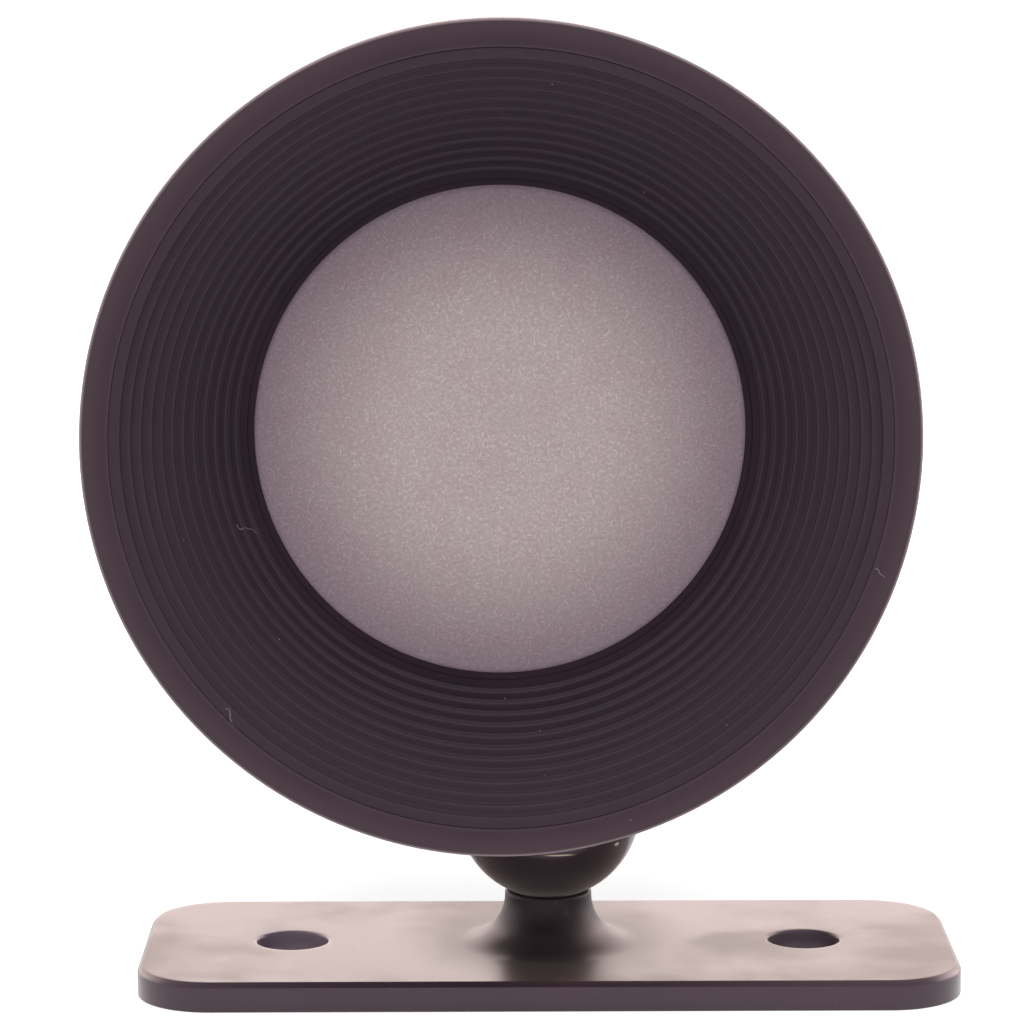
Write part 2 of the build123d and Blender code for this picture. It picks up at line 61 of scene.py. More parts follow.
SMOOTH_ANGLE = math.radians(32)
TINY = 1e-6
# How far a cutter runs past the face that it cuts through.
OVERRUN = 1.0
# Octaves of a noise for broad patches, clouds and fine grain.
PATCH_DETAIL, CLOUD_DETAIL, GRAIN_DETAIL = 2.0, 4.0, 5.0
# The values between which a soft noise is stretched to its full range.
CONTRAST = (0.3, 0.7)

Point = tuple[float, float]
Place = tuple[float, float, float]
Colour = tuple[float, float, float]
Socket = bpy.types.NodeSocket
WHITE: Colour = (1.0, 1.0, 1.0)
log = logging.getLogger("spotlight")


class Spin(Enum):
    """The direction of the axis that a piece is turned about."""

    LAMP = "Y"
    POST = "Z"

    def place(self, radius: float, along: float, angle: float, at: Point) -> Vector:
        """Point in metres at that radius, distance along the axis and angle.

        Args:
            radius: Distance from the axis in millimetres.
            along: Distance along the axis in millimetres.
            angle: Angle round the axis in radians.
            at: Where the axis stands, in millimetres across it.

        Returns:
            The point.
        """
        first = at[0] + radius * math.cos(angle)
        second = at[1] + radius * math.sin(angle)
        if self is Spin.LAMP:
            return Vector((first, along, second)) * MM
        return Vector((first, second, along)) * MM


class Carve(Enum):
    """What a carving tool does to a piece."""

    CUT = "DIFFERENCE"
    JOIN = "UNION"


class Body(Enum):
    """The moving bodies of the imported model."""

    BASE = "base"
    SWIVEL = "swivel"
    LINER = "liner"
    HEAD = "head"


@dataclass(frozen=True)
class Datum:
    """A frame that pieces are drawn in, and the axis that they are turned about."""

    name: str
    spin: Spin
    place: Matrix


@dataclass(frozen=True)
class Pose:
    """How the head rests on the ball, and the frames that follow from it."""

    lean: float = 7.1
    tilt: float = 1.0
    turn: float = 1.0
    seat_depth: float = 14.0
    lamp_axis_above_ball: float = 24.4

    @property
    def base(self) -> Datum:
        """The row frame itself."""
        return Datum("base", Spin.POST, Matrix.Identity(4))

    @property
    def ball(self) -> Datum:
        """Upright frame at the ball's centre, where the joints are."""
        return Datum("ball", Spin.POST, Matrix.Translation(frame["joints"][0]["pos_m"]))

    @property
    def seat(self) -> Datum:
        """Frame of the magnetic seat, with Z along its axis."""
        turn = Matrix.Rotation(math.radians(self.turn), 4, "Z")
        lean = Matrix.Rotation(math.radians(-self.lean), 4, "Y")
        tilt = Matrix.Rotation(math.radians(-self.tilt), 4, "X")
        return Datum("seat", Spin.POST, self.ball.place @ turn @ lean @ tilt)

    @property
    def lamp(self) -> Datum:
        """Frame of the lamp, with Y along its axis from the rim to the rear."""
        shift = Vector((0.0, -self.seat_depth, self.lamp_axis_above_ball)) * MM
        return Datum("lamp", Spin.LAMP, self.seat.place @ Matrix.Translation(shift))


@dataclass(frozen=True)
class Ridges:
    """The baffle's crests, which both its outline and its finish follow."""

    count: int = 13
    first_radius: float = 21.95
    inset: float = 0.588
    first_depth: float = 0.05
    drop: float = 0.49

    def crest(self, step: int) -> Point:
        """Radius and depth of a crest, counted from 0 at the front."""
        return self.first_radius - step * self.inset, self.first_depth + step * self.drop


@dataclass(frozen=True)
class HoleCircle:
    """Evenly spaced holes on a circle about the lamp axis."""

    radius: float
    count: int
    first_angle: float

    def places(self) -> list[Point]:
        """Where the holes stand, across the lamp axis."""
        turns = [self.first_angle + 360 * index / self.count for index in range(self.count)]
        return [
            (self.radius * math.cos(angle), self.radius * math.sin(angle))
            for angle in map(math.radians, turns)]


# Outlines and meshes


@dataclass(frozen=True)
class Corner:
    """One corner of an outline: radius, distance along the axis and the arc that eases it."""

    across: float
    along: float
    ease: float = 0.0


def eased_corner(before: Corner, corner: Corner, after: Corner) -> list[Point]:
    """Round one corner with a short arc.

    Args:
        before: The corner before this one.
        corner: The corner to round.
        after: The corner after this one.

    Returns:
        The arc's points in order.
    """
    tip = Vector((corner.across, corner.along))
    back = (Vector((before.across, before.along)) - tip).normalized()
    ahead = (Vector((after.across, after.along)) - tip).normalized()
    half = back.angle(ahead) / 2
    centre = tip + (back + ahead).normalized() * corner.ease / math.sin(half)
    first = tip + back * corner.ease / math.tan(half) - centre
    last = tip + ahead * corner.ease / math.tan(half) - centre
    turn = -first.angle_signed(last)
    spots = [
        centre + Matrix.Rotation(turn * step / EASE_STEPS, 2) @ first
        for step in range(EASE_STEPS + 1)]
    return [(spot.x, spot.y) for spot in spots]


def outline(corners: Sequence[Corner], closed: bool = True) -> list[Point]:
    """Turn corners into points, with the eased ones rounded.

    Args:
        corners: The outline's corners in order.
        closed: Whether the last corner joins the first.

    Returns:
        The outline's points in order.
    """
    points: list[Point] = []
    last = len(corners) - 1
    for index, corner in enumerate(corners):
        at_end = not closed and index in (0, last)
        if corner.ease and not at_end:
            after = corners[(index + 1) % len(corners)]
            points += eased_corner(corners[index - 1], corner, after)
        else:
            points.append((corner.across, corner.along))
    return points


def arc(centre: Point, radius: float, start: float, end: float, steps: int) -> list[Corner]:
    """Corners along an arc.

    Args:
        centre: The arc's centre.
        radius: Its radius.
        start: The first angle, from the across direction towards along.
        end: The last angle.
        steps: How many straight steps stand for the arc.

    Returns:
        The corners from start to end.
    """
    corners = []
    for step in range(steps + 1):
        angle = math.radians(start + (end - start) * step / steps)
        across = centre[0] + radius * math.cos(angle)
        corners.append(Corner(max(across, 0.0), centre[1] + radius * math.sin(angle)))
    return corners


def bar(radius: float, start: float, end: float, ease: float = 0.0) -> list[Corner]:
    """Outline of a round bar, with its far end eased."""
    return [Corner(0.0, start), Corner(radius, start), Corner(radius, end, ease), Corner(0.0, end)]


def spin_ring(
    bm: bmesh.types.BMesh,
    point: Point,
    spin: Spin,
    at: Point = (0.0, 0.0),
    segments: int = ROUND_SEGMENTS,
) -> list[bmesh.types.BMVert]:
    """Add a ring of vertices about an axis, or one vertex on the axis itself.

    Args:
        bm: The mesh under way.
        point: Radius and distance along the axis.
        spin: The axis direction.
        at: Where the axis stands, across it.
        segments: How many vertices the ring has.

    Returns:
        The new vertices.
    """
    radius, along = point
    count = segments if radius > TINY else 1
    angles = [math.tau * index / count for index in range(count)]
    return [bm.verts.new(spin.place(radius, along, angle, at)) for angle in angles]


def bridge(
    bm: bmesh.types.BMesh,
    first: Sequence[bmesh.types.BMVert],
    second: Sequence[bmesh.types.BMVert],
) -> None:
    """Join two rings with faces.

    Args:
        bm: The mesh under way.
        first: One ring, or a single vertex.
        second: The other ring, or a single vertex.
    """
    if len(first) == 1 and len(second) == 1:
        return
    count = max(len(first), len(second))
    for index in range(count):
        following = (index + 1) % count
        if len(first) == 1:
            bm.faces.new((first[0], second[following], second[index]))
        elif len(second) == 1:
            bm.faces.new((first[index], first[following], second[0]))
        else:
            bm.faces.new((first[index], first[following], second[following], second[index]))


def shade(mesh: bpy.types.Mesh) -> None:
    """Shade a mesh smooth, with its sharp edges kept."""
    mesh.shade_smooth()
    mesh.set_sharp_from_angle(angle=SMOOTH_ANGLE)


def finish_mesh(name: str, bm: bmesh.types.BMesh) -> bpy.types.Object:
    """Turn a bmesh into an object.

    Args:
        name: The piece's name.
        bm: The mesh, which is freed.

    Returns:
        The new object.
    """
    bmesh.ops.recalc_face_normals(bm, faces=bm.faces)
    mesh = bpy.data.meshes.new(name)
    bm.to_mesh(mesh)
    bm.free()
    shade(mesh)
    piece = bpy.data.objects.new(name, mesh)
    bpy.context.scene.collection.objects.link(piece)
    return piece


def turned(
    name: str,
    corners: Sequence[Corner],
    spin: Spin,
    places: Sequence[Point] = ((0.0, 0.0),),
    segments: int = ROUND_SEGMENTS,
) -> bpy.types.Object:
    """Turn a closed outline about one or more axes, as on a lathe.

    Args:
        name: The piece's name.
        corners: The outline, as radius and distance along the axis.
        spin: The axis direction.
        places: Where the axes stand, across them.
        segments: How many sides a full turn has.

    Returns:
        The new object.
    """
    bm = bmesh.new()
    for at in places:
        rings = [spin_ring(bm, point, spin, at, segments) for point in outline(corners)]
        for index, ring in enumerate(rings):
            bridge(bm, rings[index - 1], ring)
    return finish_mesh(name, bm)


def blocks(centres: Sequence[Vector], size: Vector) -> bpy.types.Object:
    """Square-edged cutters of one size.

    Args:
        centres: Their centres.
        size: Their three side lengths.

    Returns:
        The cutters, as one object.
    """
    bm = bmesh.new()
    for centre in centres:
        shape = Matrix.Translation(centre * MM) @ Matrix.Diagonal((size * MM).to_4d())
        bmesh.ops.create_cube(bm, size=1.0, matrix=shape)
    return finish_mesh("tool", bm)


def carve(piece: bpy.types.Object, tool: bpy.types.Object, mode: Carve = Carve.CUT) -> None:
    """Cut a tool out of a piece, or join it on, and remove the tool.

    Args:
        piece: The piece to change.
        tool: The closed shape that works on it.
        mode: Cut or join.
    """
    modifier = piece.modifiers.new("carve", "BOOLEAN")
    modifier.operation = mode.value
    modifier.solver = "EXACT"
    modifier.object = tool
    bpy.context.view_layer.update()
    evaluated = piece.evaluated_get(bpy.context.evaluated_depsgraph_get())
    mesh = bpy.data.meshes.new_from_object(evaluated)
    piece.modifiers.clear()
    bm = bmesh.new()
    bm.from_mesh(mesh)
    bmesh.ops.dissolve_degenerate(bm, dist=TINY, edges=bm.edges)
    bm.to_mesh(mesh)
    bm.free()
    shade(mesh)
    spent = piece.data, tool.data
    piece.data = mesh
    bpy.data.objects.remove(tool)
    for old in spent:
        bpy.data.meshes.remove(old)


# Finishes


class NodeSheet:
    """A node tree, with short calls to add its nodes."""

    def __init__(self, tree: bpy.types.NodeTree) -> None:
        """Work on that tree."""
        self.tree = tree

    def add(self, kind: str, inputs: dict | None = None, **settings: object) -> bpy.types.Node:
        """Add a node.

        Args:
            kind: The node's type name without its ShaderNode prefix.
            inputs: Socket values or links, by socket name or number.
            **settings: Node properties.

        Returns:
            The new node.
        """
        node = self.tree.nodes.new("ShaderNode" + kind)
        for key, value in settings.items():
            setattr(node, key, value)
        for key, value in (inputs or {}).items():
            self.set(node, key, value)
        return node

    def set(self, node: bpy.types.Node, key: str | int, value: object) -> None:
        """Set or link one socket of a node.

        Args:
            node: The node.
            key: The socket's name or number.
            value: A value, or another node's output to link.
        """
        if isinstance(value, Socket):
            self.tree.links.new(value, node.inputs[key])
        else:
            node.inputs[key].default_value = value

    def maths(self, operation: str, *values: object) -> Socket:
        """The result of a maths node on those values or links."""
        return self.add("Math", dict(enumerate(values)), operation=operation).outputs[0]

    def vectors(self, operation: str, *values: object) -> Socket:
        """The vector that a vector maths node makes of those values or links."""
        return self.add("VectorMath", dict(enumerate(values)), operation=operation).outputs[0]

    def remap(
        self, value: Socket, low: float, high: float, out_low: float = 0.0, out_high: float = 1.0
    ) -> Socket:
        """Map a value smoothly from one range to another, and hold it at the ends.

        Args:
            value: The value to map.
            low: The value that gives the new range's first end.
            high: The value that gives its last end.
            out_low: The new range's first end.
            out_high: Its last end.

        Returns:
            The mapped value.
        """
        inputs = {"Value": value, "From Min": low, "From Max": high}
        inputs |= {"To Min": out_low, "To Max": out_high}
        return self.add("MapRange", inputs, interpolation_type="SMOOTHSTEP").outputs[0]

    def between(self, factor: Socket, first: Socket | float, second: Socket | float) -> Socket:
        """A value between two others."""
        return self.add("Mix", {0: factor, 2: first, 3: second}).outputs[0]

    def blend(self, factor: Socket, first: Socket | Colour, second: Socket | Colour) -> Socket:
        """A colour between two others."""
        inputs = {0: factor, 6: with_alpha(first), 7: with_alpha(second)}
        return self.add("Mix", inputs, data_type="RGBA").outputs[2]


def with_alpha(colour: Socket | Colour) -> Socket | tuple[float, ...]:
    """A colour as four numbers, or a link as it is."""
    return colour if isinstance(colour, Socket) else (*colour, 1.0)


class Skin(NodeSheet):
    """Node tree of one material, with the coordinates of the pieces that wear it."""

    def __init__(self, material: bpy.types.Material, datum: Datum) -> None:
        """Start from coordinates in millimetres in the frame that the pieces are drawn in.

        Args:
            material: The material to build.
            datum: The frame of the pieces that wear it.
        """
        super().__init__(material.node_tree)
        self.shader = self.tree.nodes["Principled BSDF"]
        self.spin = datum.spin
        inward = datum.place.inverted()
        self.place = self.add("Mapping", {
            "Vector": self.add("TexCoord").outputs["Object"],
            "Location": inward.translation / MM,
            "Rotation": inward.to_euler(),
            "Scale": (1 / MM, 1 / MM, 1 / MM),
        }).outputs[0]

    def wear(self, **sockets: object) -> None:
        """Set or link the shader's own sockets, named with underscores for spaces."""
        for key, value in sockets.items():
            self.set(self.shader, key.replace("_", " "), value)

    def noise(self, scale: float, detail: float = 3.0, place: Socket | None = None) -> Socket:
        """Soft noise from 0 to 1 with that many cells to the millimetre."""
        inputs = {"Vector": place or self.place, "Scale": scale, "Detail": detail}
        return self.add("TexNoise", inputs).outputs[0]

    def face(self) -> Socket:
        """Flatten the coordinates onto a face across the axis.

        Returns:
            The coordinates, with no third part.
        """
        parts = self.add("SeparateXYZ", {0: self.place}).outputs
        across = parts["Z" if self.spin is Spin.LAMP else "Y"]
        return self.add("CombineXYZ", {"X": parts["X"], "Y": across}).outputs[0]

    def distance(self, place: Point = (0.0, 0.0)) -> Socket:
        """Distance from an axis that stands at that place on the face."""
        inputs = {0: self.face(), 1: (*place, 0.0)}
        return self.add("VectorMath", inputs, operation="DISTANCE").outputs["Value"]

    def strokes(
        self, cells: float, length: float, width: float, share: float, place: Socket | None = None
    ) -> Socket:
        """Short strokes on a face, in all directions.

        Args:
            cells: How many cells there are to the millimetre, with at most one stroke in each.
            length: Length of the longest strokes.
            width: Width of a stroke.
            share: Share of the cells with a stroke.
            place: Coordinates on the face, if they aren't the plain ones.

        Returns:
            Factor that is up to 1 on a stroke.
        """
        place = place or self.face()
        inputs = {"Vector": place, "Scale": cells}
        cell = self.add("TexVoronoi", inputs, voronoi_dimensions="2D").outputs
        chance = self.add("SeparateColor", {0: cell["Color"]}).outputs
        turn = self.add("VectorRotate", {
            "Vector": self.vectors("SUBTRACT", place, cell["Position"]),
            "Angle": self.maths("MULTIPLY", chance[0], math.tau),
        }, rotation_type="Z_AXIS").outputs[0]
        parts = self.add("SeparateXYZ", {0: self.vectors("ABSOLUTE", turn)}).outputs
        reach = self.remap(chance[1], 0.0, 1.0, length / 5, length / 2)
        inside = self.maths("LESS_THAN", parts[0], reach)
        line = self.remap(parts[1], width / 4, width / 2 + width / 4, 1.0, 0.0)
        brightness = self.remap(chance[2], share / 4, share, 1.0, 0.0)
        return self.maths("MULTIPLY", self.maths("MULTIPLY", inside, line), brightness)

    def along(self) -> Socket:
        """Distance along the axis that the piece is turned about."""
        return self.add("SeparateXYZ", {0: self.place}).outputs[self.spin.value]

    def rings(self, scale: float) -> Socket:
        """Noise that changes with the radius alone, as the marks of a lathe do."""
        inputs = {"W": self.distance(), "Scale": scale, "Detail": CLOUD_DETAIL}
        return self.add("TexNoise", inputs, noise_dimensions="1D").outputs[0]

    def bump(self, height: Socket, depth: float) -> None:
        """Raise the surface by a height, over earlier bumps.

        Args:
            height: The height, usually from 0 to 1.
            depth: How far a height of 1 raises the surface, in millimetres.
        """
        inputs: dict = {"Height": height, "Distance": depth * MM, "Strength": 1.0}
        earlier = self.shader.inputs["Normal"].links
        if earlier:
            inputs["Normal"] = earlier[0].from_socket
        self.wear(Normal=self.add("Bump", inputs).outputs[0])


@dataclass(frozen=True)
class Layer:
    """A colour that lies over a coat where its factor says, with its own gloss or roughness."""

    colour: Colour
    gloss: float | None = field(default=None, kw_only=True)
    roughness: float | None = field(default=None, kw_only=True)

    def factor(self, skin: Skin) -> Socket:
        """How much of the layer shows, from 0 to 1."""
        raise NotImplementedError


@dataclass(frozen=True)
class Fade(Layer):
    """Layer that comes in from one distance to another, about the axis or a place beside it."""

    start: float
    end: float
    place: Point = (0.0, 0.0)
    strength: float = 1.0
    depth: float | None = None

    def factor(self, skin: Skin) -> Socket:
        """Rise from 0 at the first distance to the strength at the last, down to the depth.

        Args:
            skin: The material under way.

        Returns:
            How much of the layer shows.
        """
        across = skin.remap(skin.distance(self.place), self.start, self.end, 0.0, self.strength)
        if self.depth is None:
            return across
        shallow = skin.remap(skin.along(), self.depth, self.depth * 2, 1.0, 0.0)
        return skin.maths("MULTIPLY", across, shallow)


@dataclass(frozen=True)
class PaintedStepLight(Layer):
    """Painted light on a part of each of the baffle's steps: paler crests, and risers lifted out of
    their shade.

    Along a step's outline 0 is its crest, 1 is the root below the crest and 2 the next crest.
    Beyond the first and the last step, on the flange and the lip, the count stands still.
    """

    start: float
    end: float
    strength: float = 1.0
    flange: float = -0.7
    lip: float = 23.3
    ridges: ClassVar[Ridges] = Ridges()

    def factor(self, skin: Skin) -> Socket:
        """Rise from 0 at the start to the strength at the end.

        Args:
            skin: The material under way.

        Returns:
            How much of the layer shows.
        """
        inward = skin.maths("SUBTRACT", self.ridges.first_radius, skin.distance())
        steps_in = skin.maths("DIVIDE", inward, self.ridges.inset)
        deeper = skin.maths("SUBTRACT", skin.along(), self.ridges.first_depth)
        steps_down = skin.maths("DIVIDE", deeper, self.ridges.drop)
        travel = skin.maths("ADD", steps_in, steps_down)
        held = skin.add("Clamp", {0: travel, 1: self.flange, 2: self.lip}).outputs[0]
        stage = skin.maths("WRAP", held, 2.0, 0.0)
        return skin.remap(stage, self.start, self.end, 0.0, self.strength)


@dataclass(frozen=True)
class Dust(Layer):
    """Sparse pale specks."""

    share: float = 0.1
    cells: float = 1.1
    size: float = 0.05
    solid: float = 0.4

    def factor(self, skin: Skin) -> Socket:
        """Put a speck in that share of the cells.

        Args:
            skin: The material under way.

        Returns:
            Factor that is 1 on a speck.
        """
        cells = skin.add("TexVoronoi", {"Vector": skin.place, "Scale": self.cells})
        core = self.size * self.solid
        near = skin.remap(cells.outputs["Distance"], core, self.size, 1.0, 0.0)
        pick = skin.add("SeparateColor", {0: cells.outputs["Color"]}).outputs[0]
        return skin.maths("MULTIPLY", near, skin.maths("LESS_THAN", pick, self.share))


@dataclass(frozen=True)
class Lint(Layer):
    """A few short pale fibres on a face, curled by a drift of its coordinates."""

    share: float = 0.07
    cells: float = 0.4
    length: float = 1.1
    width: float = 0.05
    curl: float = 1.4
    curl_scale: float = 0.9

    def factor(self, skin: Skin) -> Socket:
        """Lay the fibres on curled coordinates.

        Args:
            skin: The material under way.

        Returns:
            Factor that is 1 along a fibre.
        """
        inputs = {"Vector": skin.place, "Scale": self.curl_scale}
        drift = skin.add("TexNoise", inputs).outputs["Color"]
        curled = skin.vectors("MULTIPLY_ADD", drift, (self.curl, self.curl, 0.0), skin.face())
        return skin.strokes(self.cells, self.length, self.width, self.share, curled)


@dataclass(frozen=True)
class Smudges(Layer):
    """Soft clouds that handling leaves, drifted so that they run out in wisps."""

    scale: float = 0.12
    drift: float = 7.0
    drift_scale: float = 0.7
    floor: float = 0.44
    ceiling: float = 0.7
    above: float = 0.0
    above_edge: float = 0.1

    def factor(self, skin: Skin) -> Socket:
        """Spread the clouds above a height.

        Args:
            skin: The material under way.

        Returns:
            Factor that is 0 on clean coat and 1 where it is most smudged.
        """
        coarse = self.scale * self.drift_scale
        inputs = {"Vector": skin.place, "Scale": coarse, "Detail": PATCH_DETAIL}
        drift = skin.add("TexNoise", inputs).outputs["Color"]
        moved = skin.vectors("MULTIPLY_ADD", drift, (self.drift,) * 3, skin.place)
        clouds = skin.remap(skin.noise(self.scale, place=moved), self.floor, self.ceiling)
        high = skin.remap(skin.along(), self.above - self.above_edge, self.above)
        return skin.maths("MULTIPLY", clouds, high)


@dataclass(frozen=True)
class PaintedGlint(Layer):
    """One small pale patch: a painted glint that stands in for a bright reflection."""

    place: Place
    reach: Place
    solid: float = 0.35

    def factor(self, skin: Skin) -> Socket:
        """Fall from 1 at the patch's middle to 0 at its reach.

        Args:
            skin: The material under way.

        Returns:
            How much of the layer shows.
        """
        away = skin.vectors("DIVIDE", skin.vectors("SUBTRACT", skin.place, self.place), self.reach)
        length = skin.add("VectorMath", {0: away}, operation="LENGTH").outputs["Value"]
        return skin.remap(length, self.solid, 1.0, 1.0, 0.0)


@dataclass(frozen=True)
class Finish:
    """A surface finish, named after the record's material slot."""

    slot: str
    colour: Colour
    roughness: float
    made: ClassVar[dict[tuple[str, str], bpy.types.Material]] = {}

    def material(self, datum: Datum) -> bpy.types.Material:
        """Make the finish's material once for each frame.

        Args:
            datum: The frame that the pieces are drawn in.

        Returns:
            The material.
        """
        key = self.slot, datum.name
        if key not in self.made:
            material = bpy.data.materials.new("_".join(key))
            material.use_nodes = True
            self.dress(Skin(material, datum))
            self.made[key] = material
        return self.made[key]

    def dress(self, skin: Skin) -> None:
        """Build the finish's nodes."""
        raise NotImplementedError

    def tone(self, amount: float) -> Colour:
        """The finish's colour, lighter above 1 and darker below it."""
        red, green, blue = (min(channel * amount, 1.0) for channel in self.colour)
        return red, green, blue

    def mottle(self, skin: Skin, value: Socket, dark: float, pale: float) -> Socket:
        """The finish's colour, between a darker and a paler tone as the value goes."""
        return skin.blend(value, self.tone(dark), self.tone(pale))

    def spread(self, skin: Skin, value: Socket, share: float = 0.2) -> Socket:
        """The finish's roughness, lower and higher by that share as the value goes."""
        low, high = self.roughness * (1 - share), min(self.roughness * (1 + share), 1.0)
        return skin.remap(value, 0.25, 0.75, low, high)


@dataclass(frozen=True)
class Coated(Finish):
    """Thin dark coat over turned metal, with soft clouds, lathe marks and a fine grain."""

    gloss: float = 0.3
    gloss_tint: Colour = (1.0, 0.84, 0.92)
    haze: float = 0.0
    haze_tint: Colour = (1.0, 0.82, 0.78)
    haze_roughness: float = 0.45
    cloud_scale: float = 0.18
    cloud: float = 0.15
    ring_scale: float = 5.0
    ring_depth: float = 0.0012
    grain_scale: float = 9.0
    grain_depth: float = 0.0015
    uneven: float = 0.2
    layers: tuple[Layer, ...] = ()

    def dress(self, skin: Skin) -> None:
        """Build the coat's nodes, with its layers over each other in order.

        Args:
            skin: The material under way.
        """
        clouds = skin.noise(self.cloud_scale, CLOUD_DETAIL)
        even = skin.remap(clouds, *CONTRAST)
        colour = self.mottle(skin, even, 1 - self.cloud, 1 + self.cloud)
        rings = skin.rings(self.ring_scale)
        mixed = skin.maths("MULTIPLY", skin.maths("ADD", clouds, rings), 0.5)
        rough, gloss = self.spread(skin, mixed, self.uneven), self.gloss
        for layer in self.layers:
            factor = layer.factor(skin)
            colour = skin.blend(factor, colour, layer.colour)
            if layer.roughness is not None:
                rough = skin.between(factor, rough, layer.roughness)
            if layer.gloss is not None:
                gloss = skin.between(factor, gloss, layer.gloss)
        skin.wear(
            Base_Color=colour, Roughness=rough, Specular_IOR_Level=gloss,
            Specular_Tint=with_alpha(self.gloss_tint),
            Sheen_Weight=self.haze, Sheen_Roughness=self.haze_roughness,
            Sheen_Tint=with_alpha(self.haze_tint))
        skin.bump(rings, self.ring_depth)
        skin.bump(skin.noise(self.grain_scale, GRAIN_DETAIL), self.grain_depth)


@dataclass(frozen=True)
class Milled(Coated):
    """Coat over faint mill marks round the holes."""

    mill_places: tuple[Point, ...] = ()
    mill_pitch: float = 0.17
    mill_inner: float = 2.8
    mill_outer: float = 6.5
    mill_depth: float = 0.00005
    patch_scale: float = 0.3
    patch_bounds: Point = (0.4, 0.6)

    def dress(self, skin: Skin) -> None:
        """Build the coat's nodes and the mill marks.

        Args:
            skin: The material under way.
        """
        super().dress(skin)
        for place in self.mill_places:
            skin.bump(self.mill_marks(skin, place), self.mill_depth)

    def mill_marks(self, skin: Skin, place: Point) -> Socket:
        """Fine rings round a hole, broken up by soft noise.

        Args:
            skin: The material under way.
            place: The hole's centre.

        Returns:
            The height of the marks.
        """
        gap = skin.distance(place)
        wave = skin.maths("SINE", skin.maths("MULTIPLY", gap, math.tau / self.mill_pitch))
        near = skin.remap(gap, self.mill_inner, self.mill_outer, 1.0, 0.0)
        patches = skin.remap(skin.noise(self.patch_scale, PATCH_DETAIL), *self.patch_bounds)
        return skin.maths("MULTIPLY", wave, skin.maths("MULTIPLY", near, patches))


@dataclass(frozen=True)
class BareMetal(Finish):
    """Uncoated metal with fine directional streaks and a slight stain."""

    streak: float = 12.0
    streak_stretch: Place = (1.0, 0.12, 1.0)
    streak_depth: float = 0.002
    stain_scale: float = 0.6
    stain_tones: Point = (0.82, 1.08)
    uneven: float = 0.28

    def dress(self, skin: Skin) -> None:
        """Build the metal's nodes.

        Args:
            skin: The material under way.
        """
        drawn = skin.vectors("MULTIPLY", skin.place, self.streak_stretch)
        streaks = skin.noise(self.streak, CLOUD_DETAIL, drawn)
        stain = skin.noise(self.stain_scale)
        skin.wear(
            Base_Color=self.mottle(skin, stain, *self.stain_tones), Metallic=1.0,
            Roughness=self.spread(skin, streaks, self.uneven))
        skin.bump(streaks, self.streak_depth)


@dataclass(frozen=True)
class Moulded(Finish):
    """Moulded plastic or soft rubber with a fine spark-eroded grain."""

    grain: float = 7.0
    grain_depth: float = 0.003
    cloud_scale: float = 0.35
    cloud: float = 0.08
    uneven: float = 0.15

    def dress(self, skin: Skin) -> None:
        """Build the plastic's nodes.

        Args:
            skin: The material under way.
        """
        grain = skin.noise(self.grain, GRAIN_DETAIL)
        clouds = skin.noise(self.cloud_scale, CLOUD_DETAIL)
        skin.wear(
            Base_Color=self.mottle(skin, clouds, 1 - self.cloud, 1 + self.cloud),
            Roughness=self.spread(skin, grain, self.uneven))
        skin.bump(grain, self.grain_depth)


@dataclass(frozen=True)
class BoardMask(Finish):
    """Solder mask over the weave of a circuit board."""

    weave: float = 2.2
    weave_depth: float = 0.004
    weave_tones: Point = (0.88, 1.1)
    stain_scale: float = 0.5

    def dress(self, skin: Skin) -> None:
        """Build the board's nodes.

        Args:
            skin: The material under way.
        """
        parts = skin.add("SeparateXYZ", {0: skin.place}).outputs
        turns = math.tau * self.weave
        threads = [skin.maths("SINE", skin.maths("MULTIPLY", parts[axis], turns)) for axis in "XZ"]
        weave = skin.maths("MULTIPLY", *threads)
        skin.wear(
            Base_Color=self.mottle(skin, skin.remap(weave, -1.0, 1.0), *self.weave_tones),
            Roughness=self.spread(skin, skin.noise(self.stain_scale)))
        skin.bump(weave, self.weave_depth)


@dataclass(frozen=True)
class Phosphor(Finish):
    """Phosphor-filled silicone over the emitting chips, with powder grain."""

    powder: float = 11.0
    powder_depth: float = 0.004
    powder_tones: Point = (0.85, 1.12)
    skin_gloss: float = 0.4

    def dress(self, skin: Skin) -> None:
        """Build the phosphor's nodes.

        Args:
            skin: The material under way.
        """
        powder = skin.noise(self.powder, GRAIN_DETAIL)
        skin.wear(
            Base_Color=self.mottle(skin, powder, *self.powder_tones),
            Roughness=self.spread(skin, powder), Coat_Weight=self.skin_gloss)
        skin.bump(powder, self.powder_depth)


